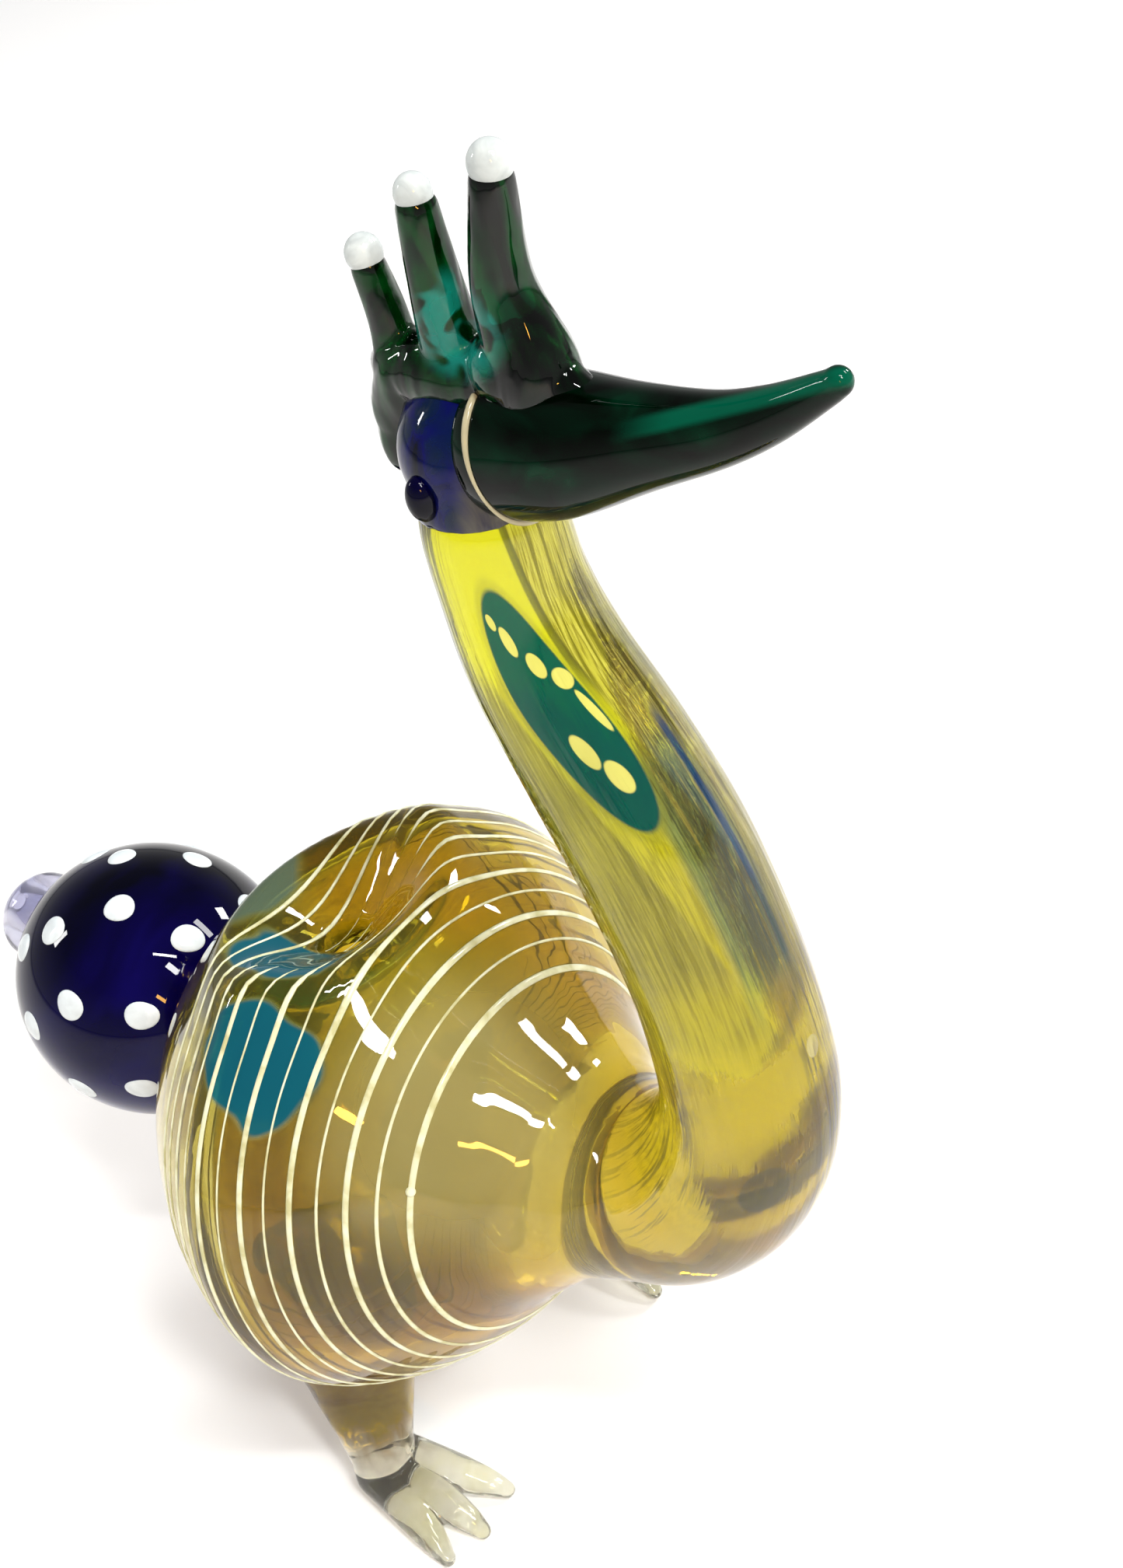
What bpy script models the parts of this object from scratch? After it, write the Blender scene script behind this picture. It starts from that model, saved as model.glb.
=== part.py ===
"""Lampworked glass bird: hollow body with a pressed bowl, swan neck, long beak and a dotted tail.

Metres, +Z up.  The bird faces +X, its left side is +Y, it stands on z = 0 and is symmetric about
y = 0.  Every piece of fused glass is its own closed solid; neighbours stay SEAM apart.  The sizes
below are in millimetres, with x counted from under the body; at the end the whole bird slides along X
so that the origin is under the middle of its length.
"""
import math

import bmesh
import bpy
from mathutils import Matrix, Vector

MM = 0.001
SEAM = 0.06                      # gap left between two fused pieces

# body: a blown bulb, widest at BODY_AT, its axis tipped up towards the chest
BODY_AT = (2.8, 39.0)            # x and z of the widest ring
BODY_TIP_UP = 5.0                # degrees
BODY_RADIUS = 25.7
BODY_REAR = 22.8                 # where the rear half would close
BODY_FRONT = 18.9                # where the front half would close
BODY_FULLNESS = 1.36             # 2 is an ellipse, lower is more pointed
BODY_WALL = 2.6
HOLLOW_END = 16.6                # the blown hollow closes short of the solid throat
HOLLOW_TAPER = 0.8               # extra wall at the tail joint
THROAT_RADIUS = 8.2
THROAT_AT = 19.0                 # axial place where body and chest meet
TAIL_JOINT_RADIUS = 6.6
TAIL_JOINT_AT = -21.6

# bowl pressed into the back
BOWL_X = 0.2
BOWL_LENGTH = 15.0
BOWL_WIDTH = 21.0
BOWL_DEPTH = 7.5
BOWL_LIP = 0.7
BOWL_HOLE_RADIUS = 2.0

# white trail wound round the body
TRAIL_TURNS = 13
TRAIL_FRONT = 14.2
TRAIL_REAR = -7.0
TRAIL_HALF_WIDTH = 0.32
TRAIL_HEIGHT = 0.2
TRAIL_LIFT = 0.24
TRAIL_LIFT_IN_BOWL = 0.55

# chest and neck, one bent rod of solid glass: centreline points (x, z) and radii
NECK_JOIN_AT = (39.5, 58.4)
NECK_JOIN_RADIUS = 6.4
CHEST_LINE = ((21.8, 40.7), (26.2, 41.4), (30.9, 43.3), (34.9, 47.4), (37.9, 52.7), NECK_JOIN_AT)
CHEST_RADII = (THROAT_RADIUS, 7.75, 7.6, 7.3, 6.8, NECK_JOIN_RADIUS)
NECK_LINE = (NECK_JOIN_AT, (39.6, 64.0), (38.6, 71.5), (36.3, 80.0), (33.4, 87.0), (30.4, 93.5),
             (29.0, 99.0), (28.6, 104.0))
NECK_RADII = (NECK_JOIN_RADIUS, 6.2, 6.0, 5.9, 5.6, 5.1, 4.6, 4.3)

# head, beak and crest
HEAD_AT = (28.8, 108.4)
HEAD_RADIUS = 4.6
BEAK_LINE = ((32.4, 109.1), (35.8, 109.7), (41.0, 110.9), (45.6, 112.1), (49.0, 113.5),
             (52.2, 115.3), (53.1, 115.9))
BEAK_RADII = (4.35, 4.1, 2.9, 2.05, 1.5, 0.95, 0.8)
BEAK_SEAM_THICK = 0.35
CREST_BASE_AT = (28.3, 112.6)
CREST_BASE_SIZE = (5.8, 2.4, 2.6)
PRONGS = {
    "front": ((33.5, 112.5), (33.4, 118.5), (34.3, 124.3), 2.3, 1.25, 1.22),
    "middle": ((28.9, 112.5), (28.7, 118.5), (28.7, 122.4), 2.0, 1.2, 1.08),
    "rear": ((23.6, 109.0), (24.5, 114.6), (24.0, 118.6), 1.7, 1.05, 1.1),
}
EYE_AT = (28.2, HEAD_RADIUS + 0.1, 107.4)
EYE_SIZE = (1.5, 1.3, 1.6)

# tail: a dotted bulb with a short rounded mouth end
TAIL_WAIST = 2.15                # length of the narrow place between body and tail bulb
TAIL_TIP_UP = 6.0                # degrees, the far end is the higher one
TAIL_HALF_LENGTH = 14.0
TAIL_RADIUS = 13.1
TAIL_WALL = 3.0
MOUTH_RADIUS = 4.6
MOUTH_LENGTH = 7.0
MOUTH_BORE = 1.6
DOT_ROWS = ((36.0, 8, -3.0), (7.0, 8, -10.0), (-15.0, 8, 14.0), (-33.0, 6, 44.0))
DOT_RADIUS = 1.5
DOT_HEIGHT = 0.3

# legs and feet
LEG_TOP = (-5.0, 9.0, 23.0)
LEG_ANKLE = (0.8, 16.4, 5.0)
LEG_TOP_RADIUS = 8.0
LEG_ANKLE_RADIUS = 3.1
LEG_HOLLOWING = 0.5              # how much thinner than a plain cone the leg is half way
HEEL_AT = (0.3, 16.9)
TOE_TIPS = ((12.0, 20.7), (13.2, 16.9), (12.7, 12.5))
TOE_ROOT_RADIUS = 1.9
TOE_TIP_RADIUS = 1.15
TOE_HEIGHTS = (1.6, 1.5, 0.95)    # toe centres at root, middle and tip; the soles are cut flat at 0
FOOT_HEEL_RADIUS = 3.0


def clear_scene():
    for obj in list(bpy.data.objects):
        bpy.data.objects.remove(obj, do_unlink=True)


def glass(name, colour, roughness=0.05, transmission=0.9):
    mat = bpy.data.materials.new(name)
    mat.use_nodes = True
    shader = mat.node_tree.nodes["Principled BSDF"]
    shader.inputs["Base Color"].default_value = (*colour, 1.0)
    shader.inputs["Roughness"].default_value = roughness
    shader.inputs["Transmission Weight"].default_value = transmission
    shader.inputs["IOR"].default_value = 1.47
    return mat


def make_object(name, verts, faces, mat):
    """One closed solid from vertices in millimetres, normals turned outwards."""
    mesh = bpy.data.meshes.new(name)
    mesh.from_pydata([tuple(c * MM for c in v) for v in verts], [], faces)
    bm = bmesh.new()
    bm.from_mesh(mesh)
    bmesh.ops.recalc_face_normals(bm, faces=bm.faces)
    bmesh.ops.triangulate(bm, faces=[f for f in bm.faces if len(f.verts) > 4])
    bm.to_mesh(mesh)
    bm.free()
    obj = bpy.data.objects.new(name, mesh)
    bpy.context.scene.collection.objects.link(obj)
    if mat is not None:
        obj.data.materials.append(mat)
    return obj


def cut(obj, cutter):
    """Take the cutter out of the object and throw the cutter away."""
    cutter.hide_render = True
    cutter.display_type = "WIRE"
    mod = obj.modifiers.new("cut", "BOOLEAN")
    mod.operation = "DIFFERENCE"
    mod.solver = "EXACT"
    mod.object = cutter
    bpy.context.view_layer.objects.active = obj
    bpy.context.view_layer.update()
    bpy.ops.object.modifier_apply(modifier=mod.name)
    bpy.data.objects.remove(cutter, do_unlink=True)


def join(obj, other):
    """Fuse the other solid into the object."""
    mod = obj.modifiers.new("join", "BOOLEAN")
    mod.operation = "UNION"
    mod.solver = "EXACT"
    mod.object = other
    bpy.context.view_layer.objects.active = obj
    bpy.context.view_layer.update()
    bpy.ops.object.modifier_apply(modifier=mod.name)
    bpy.data.objects.remove(other, do_unlink=True)


def keep_largest(obj):
    """Drop the offcuts a cut has left loose."""
    bm = bmesh.new()
    bm.from_mesh(obj.data)
    bm.verts.ensure_lookup_table()
    left = set(bm.verts)
    groups = []
    while left:
        stack = [left.pop()]
        group = set(stack)
        while stack:
            for edge in stack.pop().link_edges:
                for vert in edge.verts:
                    if vert in left:
                        left.discard(vert)
                        group.add(vert)
                        stack.append(vert)
        groups.append(group)
    groups.sort(key=len)
    for group in groups[:-1]:
        bmesh.ops.delete(bm, geom=list(group), context="VERTS")
    bm.to_mesh(obj.data)
    bm.free()


def ring_faces(rings, count, closed_loop=False):
    """Quads between successive rings of `count` vertices each."""
    faces = []
    last = rings if closed_loop else rings - 1
    for i in range(last):
        a = i * count
        b = ((i + 1) % rings) * count
        for j in range(count):
            k = (j + 1) % count
            faces.append((a + j, a + k, b + k, b + j))
    return faces


def ball_mesh(centre, size, around=20, up=12):
    """A sphere or ellipsoid: pole, rings, pole."""
    verts = [(centre[0], centre[1], centre[2] - size[2])]
    for i in range(1, up):
        t = -math.pi / 2 + math.pi * i / up
        for j in range(around):
            p = 2 * math.pi * j / around
            verts.append((centre[0] + size[0] * math.cos(t) * math.cos(p),
                          centre[1] + size[1] * math.cos(t) * math.sin(p),
                          centre[2] + size[2] * math.sin(t)))
    verts.append((centre[0], centre[1], centre[2] + size[2]))
    faces = [(0, 1 + (j + 1) % around, 1 + j) for j in range(around)]
    for i in range(up - 2):
        a = 1 + i * around
        for j in range(around):
            k = (j + 1) % around
            faces.append((a + j, a + k, a + around + k, a + around + j))
    top = len(verts) - 1
    a = 1 + (up - 2) * around
    faces += [(a + j, a + (j + 1) % around, top) for j in range(around)]
    return verts, faces


def closed_rings(name, verts, count, mat):
    """A solid from rings of vertices, closed flat at both ends."""
    faces = ring_faces(len(verts) // count, count)
    faces.append(tuple(range(count))[::-1])
    faces.append(tuple(range(len(verts) - count, len(verts))))
    return make_object(name, verts, faces, mat)


def catmull(points, steps):
    """Smooth chain of tuples through the given ones, `steps` per span."""
    chain = []
    n = len(points)
    for i in range(n - 1):
        p0 = points[max(i - 1, 0)]
        p1 = points[i]
        p2 = points[i + 1]
        p3 = points[min(i + 2, n - 1)]
        for k in range(steps):
            t = k / steps
            chain.append(tuple(
                0.5 * (2 * b + (c - a) * t + (2 * a - 5 * b + 4 * c - d) * t * t
                       + (3 * b - a - 3 * c + d) * t ** 3)
                for a, b, c, d in zip(p0, p1, p2, p3)))
    chain.append(tuple(points[-1]))
    return chain


def swept_rings(line, around, start=None, end=None):
    """Rings of vertices round a chain of (x, y, z, radius); start and end set the end rings' normals."""
    verts = []
    side = None
    for i, (x, y, z, radius) in enumerate(line):
        a = Vector(line[max(i - 1, 0)][:3])
        b = Vector(line[min(i + 1, len(line) - 1)][:3])
        along = (b - a).normalized()
        if i == 0 and start is not None:
            along = start
        if i == len(line) - 1 and end is not None:
            along = end
        if side is None:
            side = along.orthogonal() if abs(along.y) > 0.9 else Vector((0, 1, 0))
        side = (side - along * side.dot(along)).normalized()
        other = along.cross(side)
        for j in range(around):
            p = 2 * math.pi * j / around
            verts.append(tuple(Vector((x, y, z)) + radius * (math.cos(p) * side + math.sin(p) * other)))
    return verts


def rod(name, line, mat, around=20, round_start=False, round_end=False, start=None, end=None):
    """A solid rod along (x, y, z, radius), with flat or rounded ends."""
    line = list(line)
    if round_end:
        line += cap_points(line[-2], line[-1])
    if round_start:
        line = cap_points(line[1], line[0])[::-1] + line
    return closed_rings(name, swept_rings(line, around, start, end), around, mat)


def cap_points(before, end):
    """Extra stations that round off the end of a rod."""
    along = (Vector(end[:3]) - Vector(before[:3])).normalized()
    out = []
    for t in (0.35, 0.65, 0.87, 0.985):
        c = Vector(end[:3]) + along * end[3] * t
        out.append((*c, end[3] * math.sqrt(1 - t * t)))
    return out


# ---------------------------------------------------------------- body

def body_frame():
    t = math.radians(BODY_TIP_UP)
    along = Vector((math.cos(t), 0, math.sin(t)))
    up = Vector((-math.sin(t), 0, math.cos(t)))
    return Vector((BODY_AT[0], 0, BODY_AT[1])), along, up


def body_radius(s):
    """Outer radius at the axial place s, running smoothly into throat and tail joint."""
    reach = BODY_FRONT if s > 0 else BODY_REAR
    bulb = BODY_RADIUS * math.sqrt(max(1 - (abs(s) / reach) ** BODY_FULLNESS, 0))
    end = THROAT_RADIUS if s > 0 else TAIL_JOINT_RADIUS
    near_end = min(max((abs(s) - 8) / 10, 0), 1)
    end *= near_end
    return (bulb ** 4 + end ** 4) ** 0.25


def hollow_radius(s):
    """Radius of the blown bubble inside; it closes before the throat and opens into the tail."""
    if s > 0:
        return (BODY_RADIUS - BODY_WALL) * math.sqrt(max(1 - (s / HOLLOW_END) ** BODY_FULLNESS, 0.002))
    return body_radius(s) - BODY_WALL - HOLLOW_TAPER * (s / TAIL_JOINT_AT) ** 4


def press(p):
    """Push a point of the back down into the bowl, with a low lip round it."""
    if p.z < BODY_AT[1] + 6:
        return p
    e = math.hypot(2 * (p.x - BOWL_X) / BOWL_LENGTH, 2 * p.y / BOWL_WIDTH)
    sink = BOWL_DEPTH * 0.5 * (1 + math.cos(math.pi * min(e / 1.12, 1)))
    lip = BOWL_LIP * math.exp(-((e - 1.12) / 0.22) ** 2)
    return Vector((p.x, p.y, p.z - sink + lip))


def body_point(s, angle, radius=None):
    origin, along, up = body_frame()
    r = body_radius(s) if radius is None else radius
    p = origin + along * s + r * (math.cos(angle) * Vector((0, 1, 0)) + math.sin(angle) * up)
    return press(p)


def body_angles():
    """Places round the body, closer together over the bowl."""
    fine, coarse = 20, 24
    out = [math.radians(50 + 80 * i / fine) for i in range(fine)]
    return out + [math.radians(130 + 280 * i / coarse) for i in range(coarse)]


def body_bulb(mat, stations=18):
    angles = body_angles()
    ss = []
    for i in range(stations + 1):
        c = math.cos(math.pi * (1 - i / stations))
        half = THROAT_AT if c > 0 else -TAIL_JOINT_AT
        ss.append(c * half)
    verts = []
    for s in ss:
        verts += [tuple(body_point(s, a)) for a in angles]
    body = closed_rings("body_bulb", verts, len(angles), mat)
    hollow = []
    for i in range(stations + 1):
        s = TAIL_JOINT_AT - 3 + (HOLLOW_END - TAIL_JOINT_AT + 3) * i / stations
        r = hollow_radius(max(s, TAIL_JOINT_AT))
        hollow += [tuple(body_point(s, a, r)) for a in angles]
    cut(body, closed_rings("hollow", hollow, len(angles), None))
    floor = BODY_AT[1] + BODY_RADIUS - BOWL_DEPTH
    hole = rod("hole", ((BOWL_X, 0, floor - 6, BOWL_HOLE_RADIUS), (BOWL_X, 0, floor + 4, BOWL_HOLE_RADIUS)),
               None, around=16)
    cut(body, hole)
    return body


def trail_point(turn, lift, sideways):
    """A point of the wound trail: turn counts windings from the front."""
    origin, along, up = body_frame()
    s = TRAIL_FRONT + (TRAIL_REAR - TRAIL_FRONT) * turn / TRAIL_TURNS + sideways
    angle = 2 * math.pi * turn
    p = body_point(s, angle)
    step = 0.02
    tangent_s = body_point(s + step, angle) - body_point(s - step, angle)
    tangent_a = body_point(s, angle + 0.01) - body_point(s, angle - 0.01)
    normal = tangent_s.cross(tangent_a).normalized()
    if normal.dot(p - origin) < 0:
        normal = -normal
    plain = origin + along * s + body_radius(s) * (math.cos(angle) * Vector((0, 1, 0)) + math.sin(angle) * up)
    pressed = min((plain - p).length / 1.0, 1)
    return p + normal * (lift + pressed * (TRAIL_LIFT_IN_BOWL - TRAIL_LIFT))


def body_trail(mat):
    verts = []
    turns = [k + a / (2 * math.pi) for k in range(TRAIL_TURNS) for a in body_angles()]
    count = len(turns) - 1
    for turn in turns:
        verts.append(tuple(trail_point(turn, TRAIL_LIFT, -TRAIL_HALF_WIDTH)))
        verts.append(tuple(trail_point(turn, TRAIL_LIFT, TRAIL_HALF_WIDTH)))
        verts.append(tuple(trail_point(turn, TRAIL_LIFT + TRAIL_HEIGHT, 0)))
    faces = ring_faces(count + 1, 3)
    faces.append((2, 1, 0))
    n = len(verts)
    faces.append((n - 3, n - 2, n - 1))
    return make_object("body_trail", verts, faces, mat)


# ---------------------------------------------------------------- chest and neck

def plane_line(points, radii, steps):
    return catmull([(x, 0.0, z, r) for (x, z), r in zip(points, radii)], steps)


def shifted_start(line, gap, along=None):
    """Move the first station along the line by the gap."""
    a, b = Vector(line[0][:3]), Vector(line[1][:3])
    first = a + (along or (b - a).normalized()) * gap
    return [(*first, line[0][3])] + list(line[1:])


def neck_join():
    """Direction of the rod where chest and neck meet."""
    before, after = CHEST_LINE[-2], NECK_LINE[1]
    return Vector((after[0] - before[0], 0, after[1] - before[1])).normalized()


def chest_bend(mat):
    origin, along, _ = body_frame()
    line = plane_line(CHEST_LINE, CHEST_RADII, 2)
    line[0] = (*(origin + along * (THROAT_AT + SEAM)), CHEST_RADII[0])
    return rod("chest_bend", line, mat, around=24, start=along, end=neck_join())


def neck_rod(mat):
    line = shifted_start(plane_line(NECK_LINE, NECK_RADII, 2), SEAM, neck_join())
    neck = rod("neck_rod", line, mat, around=24, start=neck_join())
    cut(neck, head_cutter())
    keep_largest(neck)
    return neck


# ---------------------------------------------------------------- head

def beak_axis():
    a = Vector((BEAK_LINE[0][0], 0, BEAK_LINE[0][1]))
    b = Vector((BEAK_LINE[1][0], 0, BEAK_LINE[1][1]))
    return a, (b - a).normalized()


def head_ball(mat):
    head = make_object("head_ball", *ball_mesh((HEAD_AT[0], 0, HEAD_AT[1]), [HEAD_RADIUS] * 3, 20, 13), mat)
    at, along = beak_axis()
    start = at - along * (BEAK_SEAM_THICK + SEAM)
    stop = at + along * 12
    cut(head, rod("c", ((*start, 9), (*stop, 9)), None, around=8))
    return head


def beak_seam(mat):
    at, along = beak_axis()
    start = at - along * BEAK_SEAM_THICK
    r = BEAK_RADII[0] + 0.12
    return rod("beak_seam", ((*start, r - 0.12), (*(at - along * BEAK_SEAM_THICK * 0.5), r), (*at, r - 0.12)),
               mat, around=20)


def beak(mat):
    line = shifted_start(plane_line(BEAK_LINE, BEAK_RADII, 2), SEAM)
    return rod("beak", line, mat, around=20, round_end=True)


def crest_base(mat):
    base = make_object("crest_base",
                       *ball_mesh((CREST_BASE_AT[0], 0, CREST_BASE_AT[1]), CREST_BASE_SIZE, 16, 9), mat)
    cut(base, head_cutter())
    cut(base, beak_cutter())
    keep_largest(base)
    return base


def head_cutter():
    return make_object("c", *ball_mesh((HEAD_AT[0], 0, HEAD_AT[1]), [HEAD_RADIUS + SEAM] * 3, 20, 13), None)


def beak_cutter():
    """Room for the beak's root and its seam ring."""
    at, along = beak_axis()
    start = at - along * (BEAK_SEAM_THICK + 2 * SEAM)
    return rod("c", ((*start, 5.2), (*(at + along * 6), 5.2)), None, around=24)


def base_cutter():
    size = [c + SEAM for c in CREST_BASE_SIZE]
    return make_object("c", *ball_mesh((CREST_BASE_AT[0], 0, CREST_BASE_AT[1]), size, 16, 9), None)


def crest_prong(which, mat):
    root, middle, top, root_r, top_r, bead_r = PRONGS[which]
    line = catmull([(root[0], 0, root[1], root_r), (middle[0], 0, middle[1], (root_r + top_r) / 2 - 0.1),
                    (top[0], 0, top[1], top_r)], 4)
    prong = rod("crest_prong_" + which, line, mat, around=16)
    cut(prong, base_cutter())
    cut(prong, head_cutter())
    cut(prong, beak_cutter())
    centre = bead_centre(which)
    cut(prong, make_object("c", *ball_mesh(centre, [bead_r + SEAM] * 3, 12, 8), None))
    keep_largest(prong)
    return prong


def bead_centre(which):
    top = PRONGS[which][2]
    middle = PRONGS[which][1]
    along = (Vector((top[0], 0, top[1])) - Vector((middle[0], 0, middle[1]))).normalized()
    return tuple(Vector((top[0], 0, top[1])) + along * PRONGS[which][5] * 0.8)


def crest_bead(which, mat):
    r = PRONGS[which][5]
    return make_object("crest_bead_" + which, *ball_mesh(bead_centre(which), [r] * 3, 12, 8), mat)


def eye(side, name, mat):
    obj = make_object(name, *ball_mesh((EYE_AT[0], side * EYE_AT[1], EYE_AT[2]), EYE_SIZE, 12, 8), mat)
    cut(obj, head_cutter())
    keep_largest(obj)
    return obj


# ---------------------------------------------------------------- tail

def tail_frame():
    t = math.radians(TAIL_TIP_UP)
    along = Vector((math.cos(t), 0, -math.sin(t)))
    up = Vector((math.sin(t), 0, math.cos(t)))
    return joint_centre() - along * (TAIL_WAIST + tail_at(body_radius(TAIL_JOINT_AT))), along, up


def joint_centre():
    """Middle of the tail's front end, a seam behind the body's rear end."""
    origin, along, _ = body_frame()
    return origin + along * (TAIL_JOINT_AT - SEAM)


def tail_point(s, angle, radius):
    origin, along, up = tail_frame()
    return origin + along * s + radius * (math.cos(angle) * Vector((0, 1, 0)) + math.sin(angle) * up)


def tail_radius(s):
    return TAIL_RADIUS * math.sqrt(max(1 - (s / TAIL_HALF_LENGTH) ** 2, 0))


def tail_at(radius):
    """How far from the tail's middle its outside has that radius."""
    return TAIL_HALF_LENGTH * math.sqrt(1 - (radius / TAIL_RADIUS) ** 2)


def joint_ring(radius, around):
    """A ring of the tail's front end, lying in the plane of the body's rear end."""
    up = body_frame()[2]
    ring = []
    for j in range(around):
        p = 2 * math.pi * j / around
        ring.append(tuple(joint_centre() + radius * (math.cos(p) * Vector((0, 1, 0)) + math.sin(p) * up)))
    return ring


def tail_bulb(mat, around=24, stations=11):
    joint = body_radius(TAIL_JOINT_AT)
    front = tail_at(joint)
    rear = -tail_at(MOUTH_RADIUS - 0.6)
    ss = [front + (rear - front) * 0.5 * (1 - math.cos(math.pi * i / stations)) for i in range(stations + 1)]
    verts = joint_ring(joint, around)
    for s in ss:
        verts += [tuple(tail_point(s, 2 * math.pi * j / around, tail_radius(s))) for j in range(around)]
    for s in ss[::-1]:
        r = max(tail_radius(s) - TAIL_WALL, MOUTH_BORE)
        verts += [tuple(tail_point(s, 2 * math.pi * j / around, r)) for j in range(around)]
    verts += joint_ring(joint - TAIL_WALL, around)
    return make_object("tail_bulb", verts, ring_faces(2 * len(ss) + 2, around, closed_loop=True), mat)


def tail_mouth(mat, around=16):
    rear = -tail_at(MOUTH_RADIUS - 0.6) - SEAM
    outer = []
    steps = 6
    for i in range(steps + 1):
        t = i / steps
        swell = MOUTH_RADIUS - 0.6 + 0.6 * math.sin(math.pi * min(t * 1.2, 1))
        end = math.sqrt(max(1 - max(t - 0.5, 0) ** 2 * 3.2, 0.05))
        outer.append((rear - MOUTH_LENGTH * t, swell * end))
    verts = []
    for s, r in outer:
        verts += [tuple(tail_point(s, 2 * math.pi * j / around, r)) for j in range(around)]
    for s, r in outer[::-1]:
        verts += [tuple(tail_point(s, 2 * math.pi * j / around, MOUTH_BORE)) for j in range(around)]
    return make_object("tail_mouth", verts, ring_faces(2 * len(outer), around, closed_loop=True), mat)


def tail_dot(number, latitude, angle, mat, around=8):
    """A low round dot lying on the tail bulb."""
    s = TAIL_HALF_LENGTH * math.sin(math.radians(latitude))
    rim = math.radians(angle)
    origin, along, up = tail_frame()

    def on_tail(p, lift):
        local = p - origin
        a = local.dot(along) / TAIL_HALF_LENGTH
        b = local.dot(Vector((0, 1, 0))) / TAIL_RADIUS
        c = local.dot(up) / TAIL_RADIUS
        k = 1 / math.sqrt(a * a + b * b + c * c)
        surface = origin + local * k
        return surface + local.normalized() * lift

    centre = tail_point(s, math.pi - rim, tail_radius(s))
    normal = (centre - origin).normalized()
    side = normal.cross(Vector((0, 0.3, 1))).normalized()
    other = normal.cross(side)
    verts = [tuple(on_tail(centre, DOT_HEIGHT + SEAM))]
    for lift in (DOT_HEIGHT * 0.4, 0.0):
        for j in range(around):
            p = 2 * math.pi * j / around
            q = centre + DOT_RADIUS * (math.cos(p) * side + math.sin(p) * other)
            verts.append(tuple(on_tail(q, lift + SEAM)))
    verts.append(tuple(on_tail(centre, SEAM)))
    faces = [(0, 1 + j, 1 + (j + 1) % around) for j in range(around)]
    faces += [(1 + j, 1 + around + j, 1 + around + (j + 1) % around, 1 + (j + 1) % around)
              for j in range(around)]
    a = 1 + around
    faces += [(a + (j + 1) % around, a + j, len(verts) - 1) for j in range(around)]
    return make_object("tail_dot_%02d" % number, verts, faces, mat)


def tail_dots(mat):
    number = 0
    for latitude, count, first in DOT_ROWS:
        for k in range(count):
            number += 1
            tail_dot(number, latitude, first + 360.0 * k / count, mat)


# ---------------------------------------------------------------- legs

def leg(side, name, mat):
    x0, y0, z0 = LEG_TOP
    x1, y1, z1 = LEG_ANKLE
    knee_radius = (LEG_TOP_RADIUS + LEG_ANKLE_RADIUS) / 2 - LEG_HOLLOWING
    line = [(x0, side * y0, z0, LEG_TOP_RADIUS),
            ((x0 + x1) / 2, side * (y0 + y1) / 2, (z0 + z1) / 2, knee_radius),
            (x1, side * y1, z1, LEG_ANKLE_RADIUS)]
    obj = rod(name, catmull(line, 4), mat, around=20, end=Vector((0, 0, -1)))
    cut(obj, body_cutter())
    keep_largest(obj)
    return obj


def body_cutter(around=56, stations=24):
    """The body's outside with room for the trail, as one solid."""
    verts = []
    for i in range(stations + 1):
        s = TAIL_JOINT_AT + (THROAT_AT - TAIL_JOINT_AT) * i / stations
        r = body_radius(s) + TRAIL_LIFT + TRAIL_HEIGHT + 2 * SEAM
        origin, along, up = body_frame()
        for j in range(around):
            p = 2 * math.pi * j / around
            verts.append(tuple(origin + along * s + r * (math.cos(p) * Vector((0, 1, 0)) + math.sin(p) * up)))
    return closed_rings("c", verts, around, None)


def foot(side, name, mat):
    """Heel and three toes in one piece, flat where they stand."""
    x1, y1, z1 = LEG_ANKLE
    heel = [(HEEL_AT[0], side * HEEL_AT[1], -1.0, FOOT_HEEL_RADIUS),
            (x1, side * y1, z1 - SEAM, LEG_ANKLE_RADIUS)]
    obj = rod(name, heel, mat, around=16, end=Vector((0, 0, 1)))
    for tip in TOE_TIPS:
        root = (HEEL_AT[0] + 0.6, side * (HEEL_AT[1] + (tip[1] - HEEL_AT[1]) * 0.3))
        middle = ((root[0] + tip[0]) / 2, (root[1] + side * tip[1]) / 2)
        line = [(root[0], root[1], TOE_HEIGHTS[0], TOE_ROOT_RADIUS),
                (middle[0], middle[1], TOE_HEIGHTS[1], TOE_ROOT_RADIUS * 0.95),
                (tip[0] - TOE_TIP_RADIUS, side * tip[1], TOE_HEIGHTS[2], TOE_TIP_RADIUS)]
        toe = rod("toe", catmull(line, 2), mat, around=10, round_start=True, round_end=True)
        join(obj, toe)
    ground = make_object("c", *box_mesh((-20, side * 17 - 20, -20), (40, side * 17 + 20, 0)), None)
    cut(obj, ground)
    return obj


def box_mesh(low, high):
    x0, y0, z0 = low
    x1, y1, z1 = high
    verts = [(x0, y0, z0), (x1, y0, z0), (x1, y1, z0), (x0, y1, z0),
             (x0, y0, z1), (x1, y0, z1), (x1, y1, z1), (x0, y1, z1)]
    faces = [(3, 2, 1, 0), (4, 5, 6, 7), (0, 1, 5, 4), (1, 2, 6, 5), (2, 3, 7, 6), (3, 0, 4, 7)]
    return verts, faces


def centre_length():
    """Slide the whole bird along X until the origin is under the middle of its length."""
    xs = [vert.co.x for obj in bpy.data.objects for vert in obj.data.vertices]
    shift = Matrix.Translation((-(min(xs) + max(xs)) / 2, 0, 0))
    for obj in bpy.data.objects:
        obj.data.transform(shift)


def smooth_all():
    for obj in bpy.data.objects:
        for face in obj.data.polygons:
            face.use_smooth = True


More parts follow.
